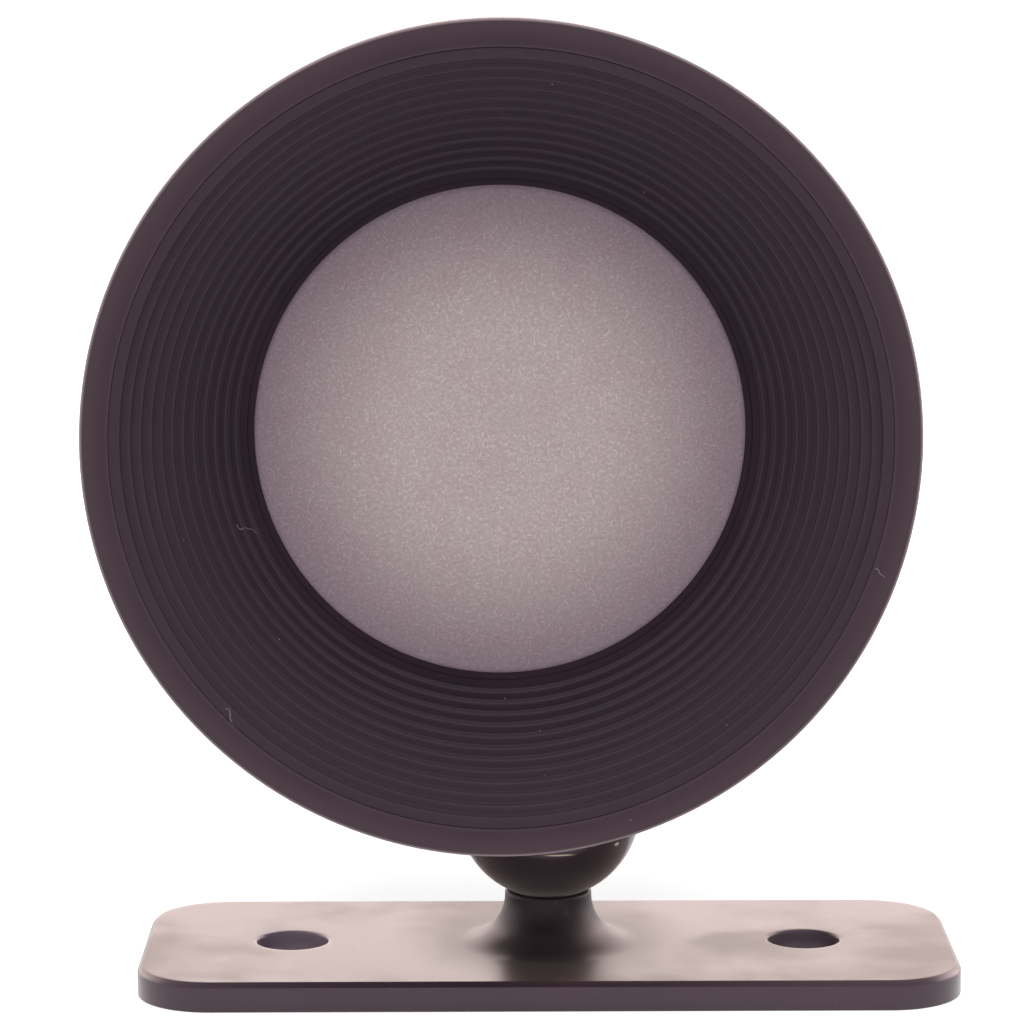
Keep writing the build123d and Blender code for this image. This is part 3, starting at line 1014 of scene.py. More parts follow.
@dataclass(frozen=True)
class Frosted(Finish):
    """Frosted diffuser, darker towards the edge by painted shade from the baffle, with fine grain
    and short bright flecks.

    Each kind of fleck has its cells to the millimetre, its length and width, and the share of the
    cells that hold one.
    """

    gloss: float = 0.3
    # Painted shade: the diffuser darker towards its edge, where the baffle shades it.
    edge: Fade = Fade((0.165, 0.116, 0.143), 5.0, 17.0)
    blush: Colour = (0.985, 0.955, 0.97)
    blush_scale: float = 0.55
    blush_bounds: Point = (0.45, 0.7)
    grain: float = 5.0
    grain_contrast: float = 0.1
    grain_depth: float = 0.003
    flecks: tuple[tuple[float, float, float, float], ...] = (
        (1.6, 0.42, 0.055, 0.6), (2.6, 0.26, 0.05, 0.8), (4.4, 0.14, 0.05, 0.8))
    fleck_gain: float = 0.36
    fleck_depth: float = 0.004

    def dress(self, skin: Skin) -> None:
        """Build the diffuser's nodes.

        Args:
            skin: The material under way.
        """
        # Painted shade towards the edge.
        colour = skin.blend(self.edge.factor(skin), self.colour, self.edge.colour)
        blush = skin.remap(skin.noise(self.blush_scale, PATCH_DETAIL), *self.blush_bounds)
        grain = skin.noise(self.grain, GRAIN_DETAIL)
        low, high = 1 - self.grain_contrast, 1 + self.grain_contrast
        lit = skin.vectors("MULTIPLY", colour, skin.blend(blush, WHITE, self.blush))
        lit = skin.vectors("MULTIPLY", lit, skin.remap(grain, *CONTRAST, low, high))
        flecks = [skin.strokes(*fleck) for fleck in self.flecks]
        bright = skin.maths("MAXIMUM", flecks[0], skin.maths("MAXIMUM", *flecks[1:]))
        gain = skin.remap(bright, 0.0, 1.0, 1.0, 1 + self.fleck_gain)
        skin.wear(
            Base_Color=skin.vectors("MULTIPLY", lit, gain), Roughness=self.spread(skin, grain),
            Specular_IOR_Level=self.gloss)
        skin.bump(grain, self.grain_depth)
        skin.bump(bright, self.fleck_depth)


DUST = Dust((0.30, 0.27, 0.27), share=0.1)
FINE_DUST = Dust((0.22, 0.19, 0.2), share=0.12, cells=2.3, size=0.07)
LINT = Lint((0.26, 0.23, 0.24), share=0.022)
LEFT_HOLE: Point = (-15.85, 0.0)
RIGHT_HOLE: Point = (15.85, 0.0)

FINISHES: dict[str, Finish] = {finish.slot: finish for finish in (
    Milled("plate_coat", (0.026, 0.012, 0.021), 0.295, gloss=0.5, haze=0.12, cloud=0.08,
           cloud_scale=0.16, ring_scale=3.0, ring_depth=0.00002, grain_scale=7.0,
           grain_depth=0.0005, uneven=0.03, mill_places=(LEFT_HOLE, RIGHT_HOLE), layers=(
               # Duller, browner coat towards the post: brownish residue, with the dimmer reflection
               # under the head painted in as shade.
               Fade((0.055, 0.032, 0.028), 10.5, 4.5, gloss=0.28, roughness=0.36),
               Smudges((0.052, 0.03, 0.026), floor=0.42, ceiling=0.72, above=1.75,
                       gloss=0.3, roughness=0.38),
               # Paler purple tone over the flare's foot, between the plate and the darker post.
               Fade((0.05, 0.034, 0.04), 7.5, 4.8, gloss=0.3, roughness=0.37),
               # Painted shade: the post darker under the head.
               Fade((0.016, 0.008, 0.012), 3.6, 2.8, gloss=0.24, roughness=0.42),
               Smudges((0.05, 0.036, 0.042), scale=1.6, drift=1.5, floor=0.5, ceiling=0.85,
                       above=1.75),
               # Painted light: the hole walls paler, the left more than the right, as glare off the
               # bright plate top.
               Fade((0.3, 0.23, 0.3), 2.4, 2.25, LEFT_HOLE),
               Fade((0.11, 0.08, 0.1), 2.4, 2.25, RIGHT_HOLE),
               FINE_DUST)),
    Coated("ball_gloss", (0.04, 0.026, 0.031), 0.2, gloss=0.35, haze=0.5, ring_depth=0.0003,
           grain_depth=0.0003, layers=(
               # Painted shade: the ball darker and duller towards its axis, on the unlit underside
               # by the neck.
               Fade((0.03, 0.02, 0.024), 4.6, 3.2, gloss=0.12, roughness=0.26),
               # Painted glints: two small pale patches that stand for bright reflections on the
               # ball.
               PaintedGlint((0.75, 0.62, 0.48), (4.15, -3.57, -1.59), (0.28, 0.28, 0.15)),
               PaintedGlint((0.7, 0.56, 0.42), (0.65, -5.31, -1.86), (1.2, 0.6, 0.07)))),
    Coated("rim_coat", (0.034, 0.018, 0.026), 0.42, gloss=0.22, haze=0.1, layers=(
        # Painted light: the rim paler towards its outer edge, as glare from the bright surround.
        Fade((0.047, 0.031, 0.039), 22.8, 24.1),
        # Painted highlight on the eased inner edge beside the baffle.
        Fade((0.042, 0.028, 0.036), 22.85, 22.7),
        # Painted highlight: a pale line along the eased front edge of the rim.
        Fade((0.24, 0.19, 0.2), 24.08, 24.24, depth=0.1), DUST, LINT)),
    Coated("baffle_coat", (0.016, 0.009, 0.013), 0.5, gloss=0.1, layers=(
        # Painted shade: the baffle darker deep in the cone towards the lens, paler out towards the
        # rim.
        Fade((0.042, 0.027, 0.038), 14.5, 22.6),
        # Painted light: risers and roots lifted out of their shade, then a paler band up to each
        # crest as a painted highlight.
        PaintedStepLight((0.04, 0.029, 0.037), 1.22, 1.0),
        PaintedStepLight((0.05, 0.036, 0.046), 1.62, 2.0, 0.7),
        DUST, LINT)),
    Coated("housing_coat", (0.04, 0.025, 0.032), 0.38, haze=0.05, layers=(FINE_DUST,)),
    BareMetal("screw_steel", (0.55, 0.55, 0.56), 0.28),
    BareMetal("pot_steel", (0.5, 0.5, 0.5), 0.32),
    BareMetal("magnet_nickel", (0.7, 0.69, 0.67), 0.16),
    BareMetal("can_aluminium", (0.78, 0.78, 0.79), 0.3),
    BareMetal("contact_brass", (0.78, 0.6, 0.28), 0.2),
    BareMetal("nut_nickel", (0.68, 0.67, 0.65), 0.2),
    Moulded("liner_plastic", (0.75, 0.74, 0.7), 0.5),
    Moulded("reflector_white", (0.85, 0.85, 0.84), 0.35),
    Moulded("dam_white", (0.85, 0.85, 0.83), 0.55),
    Moulded("lead_insulation", (0.6, 0.05, 0.04), 0.4),
    Moulded("ferrite_black", (0.05, 0.05, 0.055), 0.7, grain=5.0, grain_depth=0.008),
    Moulded("chip_black", (0.03, 0.03, 0.03), 0.55),
    Moulded("socket_black", (0.03, 0.03, 0.03), 0.4),
    Moulded("gasket_rubber", (0.03, 0.03, 0.03), 0.8, grain=4.0, grain_depth=0.01),
    Moulded("pad_grey", (0.35, 0.36, 0.38), 0.85, grain=3.0, grain_depth=0.01),
    BoardMask("board_white", (0.82, 0.83, 0.82), 0.35),
    BoardMask("board_green", (0.03, 0.16, 0.07), 0.32),
    Phosphor("emitter_phosphor", (0.8, 0.62, 0.12), 0.4),
    Frosted("diffuser_frosted", (0.408, 0.334, 0.338), 0.5),
)}


# Sub-assemblies


@dataclass
class SubAssembly:
    """A group of pieces that are drawn in one frame, ride on one body and are dressed together.

    Unless a group says otherwise, its frame is the lamp's and its body is the head. Its kept nodes
    stay as they are packed, and get the finish of the slot beside their name.
    """

    pose: Pose
    body: ClassVar[Body] = Body.HEAD
    kept: ClassVar[dict[str, str]] = {}

    @property
    def datum(self) -> Datum:
        """The frame that the pieces are drawn in."""
        return self.pose.lamp

    def build(self) -> None:
        """Build the new pieces of the group."""

    def make(self) -> None:
        """Build the new pieces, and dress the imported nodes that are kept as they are."""
        self.build()
        for node, slot in self.kept.items():
            self.dress(frame["nodes"][node], slot)
            log.info("%s: packed node dressed as %s", node, slot)

    def dress(self, piece: bpy.types.Object, slot: str) -> None:
        """Give a piece one finish in place of what it had."""
        piece.data.materials.clear()
        piece.data.materials.append(FINISHES[slot].material(self.datum))

    def settle(self, piece: bpy.types.Object, node: str, slot: str) -> None:
        """Take a finished piece from its own frame to its place, where it stands for a node.

        Args:
            piece: The piece, drawn in the sub-assembly's frame.
            node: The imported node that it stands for.
            slot: The slot of its finish.
        """
        piece.data.transform(self.datum.place)
        piece.data.name = piece.name
        piece.modifiers.new("flat_faces", "WEIGHTED_NORMAL").keep_sharp = True
        self.dress(piece, slot)
        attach(piece, self.body.value)
        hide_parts(node)
        log.info("%s: %d faces, stands for %s", piece.name, len(piece.data.polygons), node)


@dataclass
class BasePlate(SubAssembly):
    """Plate with two screw holes and the turned post, all one piece."""

    body: ClassVar[Body] = Body.BASE
    kept: ClassVar[dict[str, str]] = {"spring_washer": "screw_steel"}
    length: float = 50.0
    width: float = 20.0
    thickness: float = 1.8
    corner_radius: float = 4.6
    chamfer: float = 0.3
    edge_ease: float = 0.07
    rim_strip: float = 0.7
    hole_diameter: float = 4.4
    hole_places: tuple[Point, ...] = (LEFT_HOLE, RIGHT_HOLE)
    hole_ease: float = 0.15
    hole_strip: float = 0.4
    neck_diameter: float = 5.35
    neck_ease: float = 0.16
    flare_radius: float = 3.0
    flare_strip: float = 0.5
    cup_radius: float = 5.78
    bore_diameter: float = 2.66
    recess_diameter: float = 5.6
    recess_depth: float = 2.1
    corner_steps: int = 24
    arc_steps: int = 24

    @property
    def datum(self) -> Datum:
        """The row frame."""
        return self.pose.base

    def loop(self, bm: bmesh.types.BMesh, inset: float, height: float) -> list[bmesh.types.BMVert]:
        """A rounded rectangle of vertices, set in from the plate's sides.

        Args:
            bm: The mesh under way.
            inset: How far it is set in.
            height: Its height above the underside.

        Returns:
            The vertices in order.
        """
        radius = self.corner_radius - inset
        verts = []
        for quarter in range(4):
            side_x = 1 if quarter in (0, 3) else -1
            side_y = 1 if quarter in (0, 1) else -1
            centre_x = side_x * (self.length / 2 - self.corner_radius)
            centre_y = side_y * (self.width / 2 - self.corner_radius)
            for step in range(self.corner_steps + 1):
                angle = math.radians(90 * (quarter + step / self.corner_steps))
                x = centre_x + radius * math.cos(angle)
                y = centre_y + radius * math.sin(angle)
                verts.append(bm.verts.new(Vector((x, y, height)) * MM))
        return verts

    def post_corners(self) -> list[Corner]:
        """Draw the post, from the plate's top over the cup and down the screw recess.

        Returns:
            The corners in order.
        """
        ball_height = self.pose.ball.place.translation.z / MM
        neck = self.neck_diameter / 2
        bore = self.bore_diameter / 2
        recess = self.recess_diameter / 2
        foot = neck + self.flare_radius
        flare_centre = (foot, self.thickness + self.flare_radius)
        rim_angle = -math.degrees(math.acos(neck / self.cup_radius))
        bore_angle = -math.degrees(math.acos(bore / self.cup_radius))
        cup = arc((0.0, ball_height), self.cup_radius, rim_angle, bore_angle, self.arc_steps)
        return [
            Corner(foot + self.flare_strip, self.thickness),
            *arc(flare_centre, self.flare_radius, 270, 180, self.arc_steps),
            Corner(cup[0].across, cup[0].along, self.neck_ease), *cup[2:],
            Corner(bore, self.recess_depth), Corner(recess, self.recess_depth),
            Corner(recess, 0.0, self.edge_ease), Corner(recess + self.hole_strip, 0.0)]

    def build(self) -> None:
        """Build the plate and post as one closed mesh."""
        bm = bmesh.new()
        side = [
            Corner(self.rim_strip, 0.0), Corner(0.0, 0.0, self.edge_ease),
            Corner(0.0, self.thickness - self.chamfer, self.edge_ease),
            Corner(self.chamfer, self.thickness, self.edge_ease),
            Corner(self.rim_strip, self.thickness)]
        hole_radius = self.hole_diameter / 2
        hole = [
            Corner(hole_radius + self.hole_strip, self.thickness),
            Corner(hole_radius, self.thickness, self.hole_ease),
            Corner(hole_radius, 0.0, self.edge_ease), Corner(hole_radius + self.hole_strip, 0.0)]
        stacks = [[self.loop(bm, *point) for point in outline(side, closed=False)]]
        holes = [(hole, at) for at in self.hole_places]
        for corners, at in (*holes, (self.post_corners(), (0.0, 0.0))):
            points = outline(corners, closed=False)
            stacks.append([spin_ring(bm, point, Spin.POST, at) for point in points][::-1])
        for stack in stacks:
            for first, second in zip(stack, stack[1:]):
                bridge(bm, first, second)
        for end in (0, -1):
            self.fill(bm, [stack[end] for stack in stacks])
        self.settle(finish_mesh("plate_and_post", bm), "base_plate", "plate_coat")

    def fill(self, bm: bmesh.types.BMesh, loops: Sequence[Sequence[bmesh.types.BMVert]]) -> None:
        """Fill the flat face between the plate's edge and the openings in it.

        Args:
            bm: The mesh under way.
            loops: The edge loop and the openings' loops.
        """
        edges = []
        for loop in loops:
            for index, vert in enumerate(loop):
                edges.append(bm.edges.get((loop[index - 1], vert)))
        bmesh.ops.triangle_fill(bm, use_beauty=True, use_dissolve=False, edges=edges)


@dataclass
class Ball(SubAssembly):
    """Polished ball, with its screw from below."""

    body: ClassVar[Body] = Body.SWIVEL
    kept: ClassVar[dict[str, str]] = {"ball_screw": "screw_steel"}
    radius: float = 5.7
    hole_radius: float = 1.3
    hole_top_below_centre: float = 0.9
    arc_steps: int = 96

    @property
    def datum(self) -> Datum:
        """The upright frame at the ball's centre."""
        return self.pose.ball

    def build(self) -> None:
        """Build the ball with its blind hole."""
        mouth = -math.degrees(math.acos(self.hole_radius / self.radius))
        corners = [
            Corner(0.0, -self.hole_top_below_centre),
            Corner(self.hole_radius, -self.hole_top_below_centre),
            *arc((0.0, 0.0), self.radius, mouth, 90, self.arc_steps)]
        self.settle(turned("polished_ball", corners, Spin.POST), "swivel_ball", "ball_gloss")


@dataclass
class Liner(SubAssembly):
    """Thin low-friction cup between the ball and the seat."""

    body: ClassVar[Body] = Body.LINER
    inner_radius: float = 5.78
    outer_radius: float = 6.38
    crown_angle: float = 14.0
    rim_angle: float = 50.0
    arc_steps: int = 40

    @property
    def datum(self) -> Datum:
        """The seat's frame."""
        return self.pose.seat

    def build(self) -> None:
        """Build the cup."""
        crown, rim = 90 - self.crown_angle, 90 - self.rim_angle
        inner = arc((0.0, 0.0), self.inner_radius, crown, rim, self.arc_steps)
        outer = arc((0.0, 0.0), self.outer_radius, rim, crown, self.arc_steps)
        cup = turned("liner_cup", [*inner, *outer], Spin.POST)
        self.settle(cup, "friction_liner", "liner_plastic")


@dataclass
class MagneticSeat(SubAssembly):
    """Steel pot and ring magnet under the lamp, with a spherical pocket."""
    pocket_radius: float = 6.46
    mouth_angle: float = 50.0
    cavity_radius: float = 4.5
    magnet_radius: float = 4.45
    magnet_bore_radius: float = 1.6
    magnet_setback: float = 0.1
    magnet_top: float = 7.4
    pot_radius: float = 6.0
    pot_top: float = 8.4
    edge_ease: float = 0.12
    arc_steps: int = 24

    @property
    def datum(self) -> Datum:
        """The seat's frame."""
        return self.pose.seat

    def build(self) -> None:
        """Build the pot and its magnet."""
        cavity_angle = math.degrees(math.acos(self.cavity_radius / self.pocket_radius))
        mouth_angle = 90 - self.mouth_angle
        mouth = self.pocket_radius * math.cos(math.radians(self.mouth_angle))
        pot = [
            Corner(0.0, self.magnet_top), Corner(self.cavity_radius, self.magnet_top),
            *arc((0.0, 0.0), self.pocket_radius, cavity_angle, mouth_angle, self.arc_steps),
            Corner(self.pot_radius, mouth, self.edge_ease),
            Corner(self.pot_radius, self.pot_top, self.edge_ease), Corner(0.0, self.pot_top)]
        self.settle(turned("seat_pot", pot, Spin.POST), "magnet_pot", "pot_steel")
        face_radius = self.pocket_radius + self.magnet_setback
        inner_angle = math.degrees(math.acos(self.magnet_bore_radius / face_radius))
        outer_angle = math.degrees(math.acos(self.magnet_radius / face_radius))
        magnet = [
            *arc((0.0, 0.0), face_radius, inner_angle, outer_angle, self.arc_steps),
            Corner(self.magnet_radius, self.magnet_top, self.edge_ease),
            Corner(self.magnet_bore_radius, self.magnet_top, self.edge_ease)]
        self.settle(turned("seat_magnet", magnet, Spin.POST), "ring_magnet", "magnet_nickel")


@dataclass
class FrontRing(SubAssembly):
    """Flat rim and the cone of fine steps inside it."""
    rim_radius: float = 24.3
    opening_radius: float = 22.65
    rim_thickness: float = 3.1
    edge_ease: float = 0.2
    seam_ease: float = 0.03
    inner_ease: float = 0.08
    rear_chamfer: float = 0.3
    skirt_radius: float = 21.8
    skirt_bore_radius: float = 21.1
    skirt_end: float = 5.8
    ledge: float = 1.25
    seam: float = 0.02
    ridges: Ridges = Ridges()
    ridge_ease: float = 0.12
    root_ease: float = 0.16
    lip_radius: float = 14.5
    lip_drop: float = 0.15
    lip_thickness: float = 0.3
    lip_ease: float = 0.05
    tail_radius: float = 16.4
    tail_back_radius: float = 16.644
    tail_height: float = 0.45
    neck_end: float = 2.2

    def rim_corners(self) -> list[Corner]:
        """Outline of the rim with its threaded skirt."""
        return [
            Corner(self.opening_radius, 0.0, self.seam_ease),
            Corner(self.rim_radius, 0.0, self.edge_ease),
            Corner(self.rim_radius, self.rim_thickness - self.rear_chamfer, self.inner_ease),
            Corner(self.rim_radius - self.rear_chamfer, self.rim_thickness, self.inner_ease),
            Corner(self.skirt_radius, self.rim_thickness),
            Corner(self.skirt_radius, self.skirt_end, self.inner_ease),
            Corner(self.skirt_bore_radius, self.skirt_end, self.inner_ease),
            Corner(self.skirt_bore_radius, self.ledge),
            Corner(self.opening_radius, self.ledge),
        ]

    def baffle_corners(self) -> list[Corner]:
        """Draw the stepped cone, from its outer edge down to the lip and back.

        Returns:
            The corners in order.
        """
        flange = self.opening_radius - self.seam
        neck = self.skirt_bore_radius - self.seam
        corners = [Corner(flange, self.ridges.first_depth, self.seam_ease)]
        last = self.ridges.count - 1
        for step in range(last):
            radius, depth = self.ridges.crest(step)
            corners += [
                Corner(radius, depth, self.ridge_ease),
                Corner(radius, depth + self.ridges.drop, self.root_ease)]
        last_radius, last_depth = self.ridges.crest(last)
        lip_front = last_depth + self.lip_drop
        lip_rear = lip_front + self.lip_thickness
        tail_front = lip_rear - self.tail_height
        corners += [
            Corner(last_radius, last_depth, self.lip_ease), Corner(last_radius, lip_front),
            Corner(self.lip_radius, lip_front, self.lip_ease), Corner(self.lip_radius, lip_rear),
            Corner(self.tail_radius, lip_rear), Corner(self.tail_radius, tail_front),
            Corner(self.tail_back_radius, tail_front), Corner(neck, self.neck_end),
            Corner(neck, self.ledge), Corner(flange, self.ledge),
        ]
        return corners

    def build(self) -> None:
        """Build the rim and the baffle."""
        self.settle(turned("rim", self.rim_corners(), Spin.LAMP), "bezel_ring", "rim_coat")
        baffle = turned("baffle_cone", self.baffle_corners(), Spin.LAMP)
        self.settle(baffle, "stepped_baffle", "baffle_coat")


@dataclass
class Optics(SubAssembly):
    """Diffuser, and the light source behind it."""
    kept: ClassVar[dict[str, str]] = {
        "lens_gasket": "gasket_rubber",
        "reflector": "reflector_white",
        "emitter": "emitter_phosphor",
        "emitter_dam": "dam_white",
        "lamp_board": "board_white",
        "thermal_pad": "pad_grey",
        "board_screws": "screw_steel",
        "lamp_leads": "lead_insulation",
    }
    lens_radius: float = 15.5
    lens_front: float = 6.38
    lens_thickness: float = 1.0
    lens_ease: float = 0.08

    def build(self) -> None:
        """Build the diffuser."""
        rear = self.lens_front + self.lens_thickness
        corners = [
            Corner(0.0, self.lens_front), Corner(self.lens_radius, self.lens_front, self.lens_ease),
            Corner(self.lens_radius, rear, self.lens_ease), Corner(0.0, rear)]
        lens = turned("frosted_diffuser", corners, Spin.LAMP)
        self.settle(lens, "diffuser_lens", "diffuser_frosted")


@dataclass
class Drum(SubAssembly):
    """Finned housing with the boss that holds the magnetic seat."""
    thread_radius: float = 21.85
    front: float = FrontRing.rim_thickness
    collar_radius: float = 23.3
    collar_end: float = 6.8
    collar_chamfer: float = 0.6
    drum_radius: float = 22.0
    core_radius: float = 16.6
    chamber_radius: float = 13.2
    rear: float = 26.53
    web_front: float = 15.43
    web_rear: float = 18.03
    pocket_radius: float = 15.65
    pocket_floor: float = 7.78
    pocket_front: float = 6.53
    first_groove: float = 9.2
    last_groove: float = 23.23
    groove_count: int = 6
    groove_width: float = 1.4
    fin_ease: float = 0.16
    root_ease: float = 0.2
    boss_radius: float = 7.7
    boss_root: float = 15.75
    boss_set_in: float = 0.02
    seat_bore_radius: float = 6.02
    seat_roof: float = 15.98
    seal_groove_outer: float = 19.35
    seal_groove_inner: float = 17.25
    seal_groove_depth: float = 0.5
    thread_hole_radius: float = 1.05
    board_screws: HoleCircle = HoleCircle(9.6, 3, 30.0)
    board_hole_end: float = 17.08
    driver_screws: HoleCircle = HoleCircle(10.2, 2, 0.0)
    driver_hole_front: float = 17.28
    standoff_radius: float = 1.9
    standoff_end: float = 19.53
    cover_screws: HoleCircle = HoleCircle(14.9, 3, 90.0)
    cover_hole_front: float = 21.88
    lead_hole: HoleCircle = HoleCircle(10.6, 1, 90.0)
    lead_hole_radius: float = 1.5

    def corners(self) -> list[Corner]:
        """Draw the drum with its fins, front pocket, web and rear chamber.

        Returns:
            The corners in order.
        """
        fins = []
        pitch = (self.last_groove - self.first_groove) / (self.groove_count - 1)
        for index in range(self.groove_count):
            start = self.first_groove + index * pitch
            end = start + self.groove_width
            fins += [
                Corner(self.drum_radius, start, self.fin_ease),
                Corner(self.core_radius, start, self.root_ease),
                Corner(self.core_radius, end, self.root_ease),
                Corner(self.drum_radius, end, self.fin_ease)]
        chamfer_end = self.collar_end + self.collar_chamfer
        seal_floor = self.rear - self.seal_groove_depth
        return [
            Corner(self.thread_radius, self.front),
            Corner(self.collar_radius, self.front, self.fin_ease),
            Corner(self.collar_radius, self.collar_end, self.fin_ease),
            Corner(self.collar_radius - self.collar_chamfer, chamfer_end),
            Corner(self.drum_radius, chamfer_end), *fins,
            Corner(self.drum_radius, self.rear, self.fin_ease),
            Corner(self.seal_groove_outer, self.rear), Corner(self.seal_groove_outer, seal_floor),
            Corner(self.seal_groove_inner, seal_floor), Corner(self.seal_groove_inner, self.rear),
            Corner(self.chamber_radius, self.rear), Corner(self.chamber_radius, self.web_rear),
            Corner(0.0, self.web_rear), Corner(0.0, self.web_front),
            Corner(self.chamber_radius, self.web_front),
            Corner(self.chamber_radius, self.pocket_floor),
            Corner(self.pocket_radius, self.pocket_floor),
            Corner(self.pocket_radius, self.pocket_front),
            Corner(self.thread_radius, self.pocket_front),
        ]

    def pillar(self, name: str, radius: float, top: float) -> bpy.types.Object:
        """A round bar on the seat's axis, from below the drum up to a height."""
        corners = bar(radius, -self.drum_radius - OVERRUN, top)
        return turned(name, corners, Spin.POST, ((0.0, self.pose.seat_depth),))

    def boss(self) -> bpy.types.Object:
        """Trim a round pillar to just inside the drum's outside and to its core.

        Returns:
            The boss.
        """
        boss = self.pillar("boss", self.boss_radius, -self.chamber_radius)
        start = self.collar_end + self.collar_chamfer - self.boss_set_in
        reach = self.drum_radius - self.boss_set_in
        wide = 2 * self.drum_radius
        for corners in (
            bar(wide, -self.front, start),
            [Corner(reach, 0.0), Corner(wide, 0.0), Corner(wide, self.rear + OVERRUN),
             Corner(reach, self.rear + OVERRUN)],
            bar(self.boss_root, 0.0, self.rear),
        ):
            carve(boss, turned("tool", corners, Spin.LAMP))
        return boss

    def holes(self) -> list[tuple[list[Corner], HoleCircle]]:
        """Outlines and places of the threaded holes and the hole for the leads."""
        thread = self.thread_hole_radius
        return [
            (bar(thread, self.driver_hole_front, self.standoff_end + OVERRUN), self.driver_screws),
            (bar(thread, self.web_front - OVERRUN, self.board_hole_end), self.board_screws),
            (bar(thread, self.cover_hole_front, self.rear + OVERRUN), self.cover_screws),
            (bar(self.lead_hole_radius, self.web_front - OVERRUN, self.web_rear + OVERRUN),
             self.lead_hole),
        ]

    def build(self) -> None:
        """Build the drum, join the boss and the standoffs, then bore the seat and the holes."""
        drum = turned("finned_drum", self.corners(), Spin.LAMP)
        carve(drum, self.boss(), Carve.JOIN)
        carve(drum, self.pillar("tool", self.seat_bore_radius, -self.seat_roof))
        pads = bar(self.standoff_radius, self.web_rear - OVERRUN, self.standoff_end)
        places = self.driver_screws.places()
        carve(drum, turned("tool", pads, Spin.LAMP, places, SMALL_SEGMENTS), Carve.JOIN)
        for corners, circle in self.holes():
            carve(drum, turned("tool", corners, Spin.LAMP, circle.places(), SMALL_SEGMENTS))
        self.settle(drum, "housing", "housing_coat")


@dataclass
class Driver(SubAssembly):
    """Driver board in the rear chamber, with its components."""
    kept: ClassVar[dict[str, str]] = {
        "driver_board": "board_green",
        "driver_screws": "screw_steel",
        "driver_inductor": "ferrite_black",
        "driver_capacitors": "can_aluminium",
        "driver_chips": "chip_black",
    }


@dataclass
class Rear(SubAssembly):
    """Rear cover with its three screws and the power socket."""
    kept: ClassVar[dict[str, str]] = {
        "cover_gasket": "gasket_rubber",
        "inlet_pin": "contact_brass",
        "inlet_nut": "nut_nickel",
        "inlet_posts": "contact_brass",
    }
    front: float = Drum.rear
    rear: float = 28.33
    cover_radius: float = 21.2
    edge_ease: float = 0.8
    hole_radius: float = 3.85
    spigot_radius: float = 13.1
    spigot_bore_radius: float = 11.9
    spigot_front: float = 25.33
    screw_circle: HoleCircle = Drum.cover_screws
    shank_hole_radius: float = 1.2
    head_hole_radius: float = 2.0
    head_hole_chamfer: float = 0.15
    screw_head_radius: float = 1.8
    screw_head_height: float = 1.2
    screw_ease: float = 0.25
    screw_radius: float = 1.0
    screw_length: float = 5.2
    slot_width: float = 0.5
    slot_depth: float = 0.5
    inlet_flange_radius: float = 5.0
    inlet_flange_thickness: float = 0.9
    inlet_flange_ease: float = 0.25
    inlet_barrel_radius: float = 3.8
    inlet_bore_radius: float = 2.85
    inlet_bore_depth: float = 5.0
    inlet_floor: float = 0.8
    inlet_pin_radius: float = 1.0

    def cover(self) -> bpy.types.Object:
        """Turn the cover with its spigot, and cut the screws' stepped holes.

        Returns:
            The cover.
        """
        cover = turned("cover_plate", [
            Corner(self.hole_radius, self.rear), Corner(self.hole_radius, self.front),
            Corner(self.spigot_bore_radius, self.front),
            Corner(self.spigot_bore_radius, self.spigot_front),
            Corner(self.spigot_radius, self.spigot_front), Corner(self.spigot_radius, self.front),
            Corner(self.cover_radius, self.front),
            Corner(self.cover_radius, self.rear, self.edge_ease)], Spin.LAMP)
        seat = self.rear - self.screw_head_height
        mouth = self.head_hole_radius + self.head_hole_chamfer
        carve(cover, turned("tool", [
            Corner(0.0, self.spigot_front - OVERRUN),
            Corner(self.shank_hole_radius, self.spigot_front - OVERRUN),
            Corner(self.shank_hole_radius, seat), Corner(self.head_hole_radius, seat),
            Corner(self.head_hole_radius, self.rear - self.head_hole_chamfer),
            Corner(mouth, self.rear), Corner(mouth, self.rear + OVERRUN),
            Corner(0.0, self.rear + OVERRUN),
        ], Spin.LAMP, self.screw_circle.places(), SMALL_SEGMENTS))
        return cover

    def screws(self) -> bpy.types.Object:
        """Turn the three screws and cut their slots.

        Returns:
            The screws, as one piece.
        """
        places = self.screw_circle.places()
        seat = self.rear - self.screw_head_height
        end = seat - self.screw_length
        screws = turned("slotted_screws", [
            Corner(0.0, self.rear), Corner(self.screw_head_radius, self.rear, self.screw_ease),
            Corner(self.screw_head_radius, seat), Corner(self.screw_radius, seat),
            Corner(self.screw_radius, end, self.screw_ease), Corner(0.0, end),
        ], Spin.LAMP, places, SMALL_SEGMENTS)
        slot = Vector((self.screw_head_radius * 3, self.slot_depth * 2, self.slot_width))
        carve(screws, blocks([Vector((x, self.rear, z)) for x, z in places], slot))
        return screws

    def socket(self) -> bpy.types.Object:
        """Turn the power socket's shell, with its blind bore round the pin.

        Returns:
            The shell.
        """
        end = self.rear + self.inlet_flange_thickness
        floor = end - self.inlet_bore_depth
        inner = floor - self.inlet_floor
        return turned("socket_shell", [
            Corner(self.inlet_pin_radius, inner),
            Corner(self.inlet_barrel_radius, inner, self.head_hole_chamfer),
            Corner(self.inlet_barrel_radius, self.rear), Corner(self.inlet_flange_radius, self.rear),
            Corner(self.inlet_flange_radius, end, self.inlet_flange_ease),
            Corner(self.inlet_bore_radius, end, self.head_hole_chamfer),
            Corner(self.inlet_bore_radius, floor), Corner(self.inlet_pin_radius, floor)], Spin.LAMP)

    def build(self) -> None:
        """Build the cover, its screws and the socket's shell."""
        self.settle(self.cover(), "rear_cover", "housing_coat")
        self.settle(self.screws(), "cover_screws", "screw_steel")
        self.settle(self.socket(), "power_inlet", "socket_black")


# Stage


class LampUse(Enum):
    """What a lamp is for: plain shading, or only to be mirrored."""

    SHADING = "shading"
    MIRRORED = "mirrored"


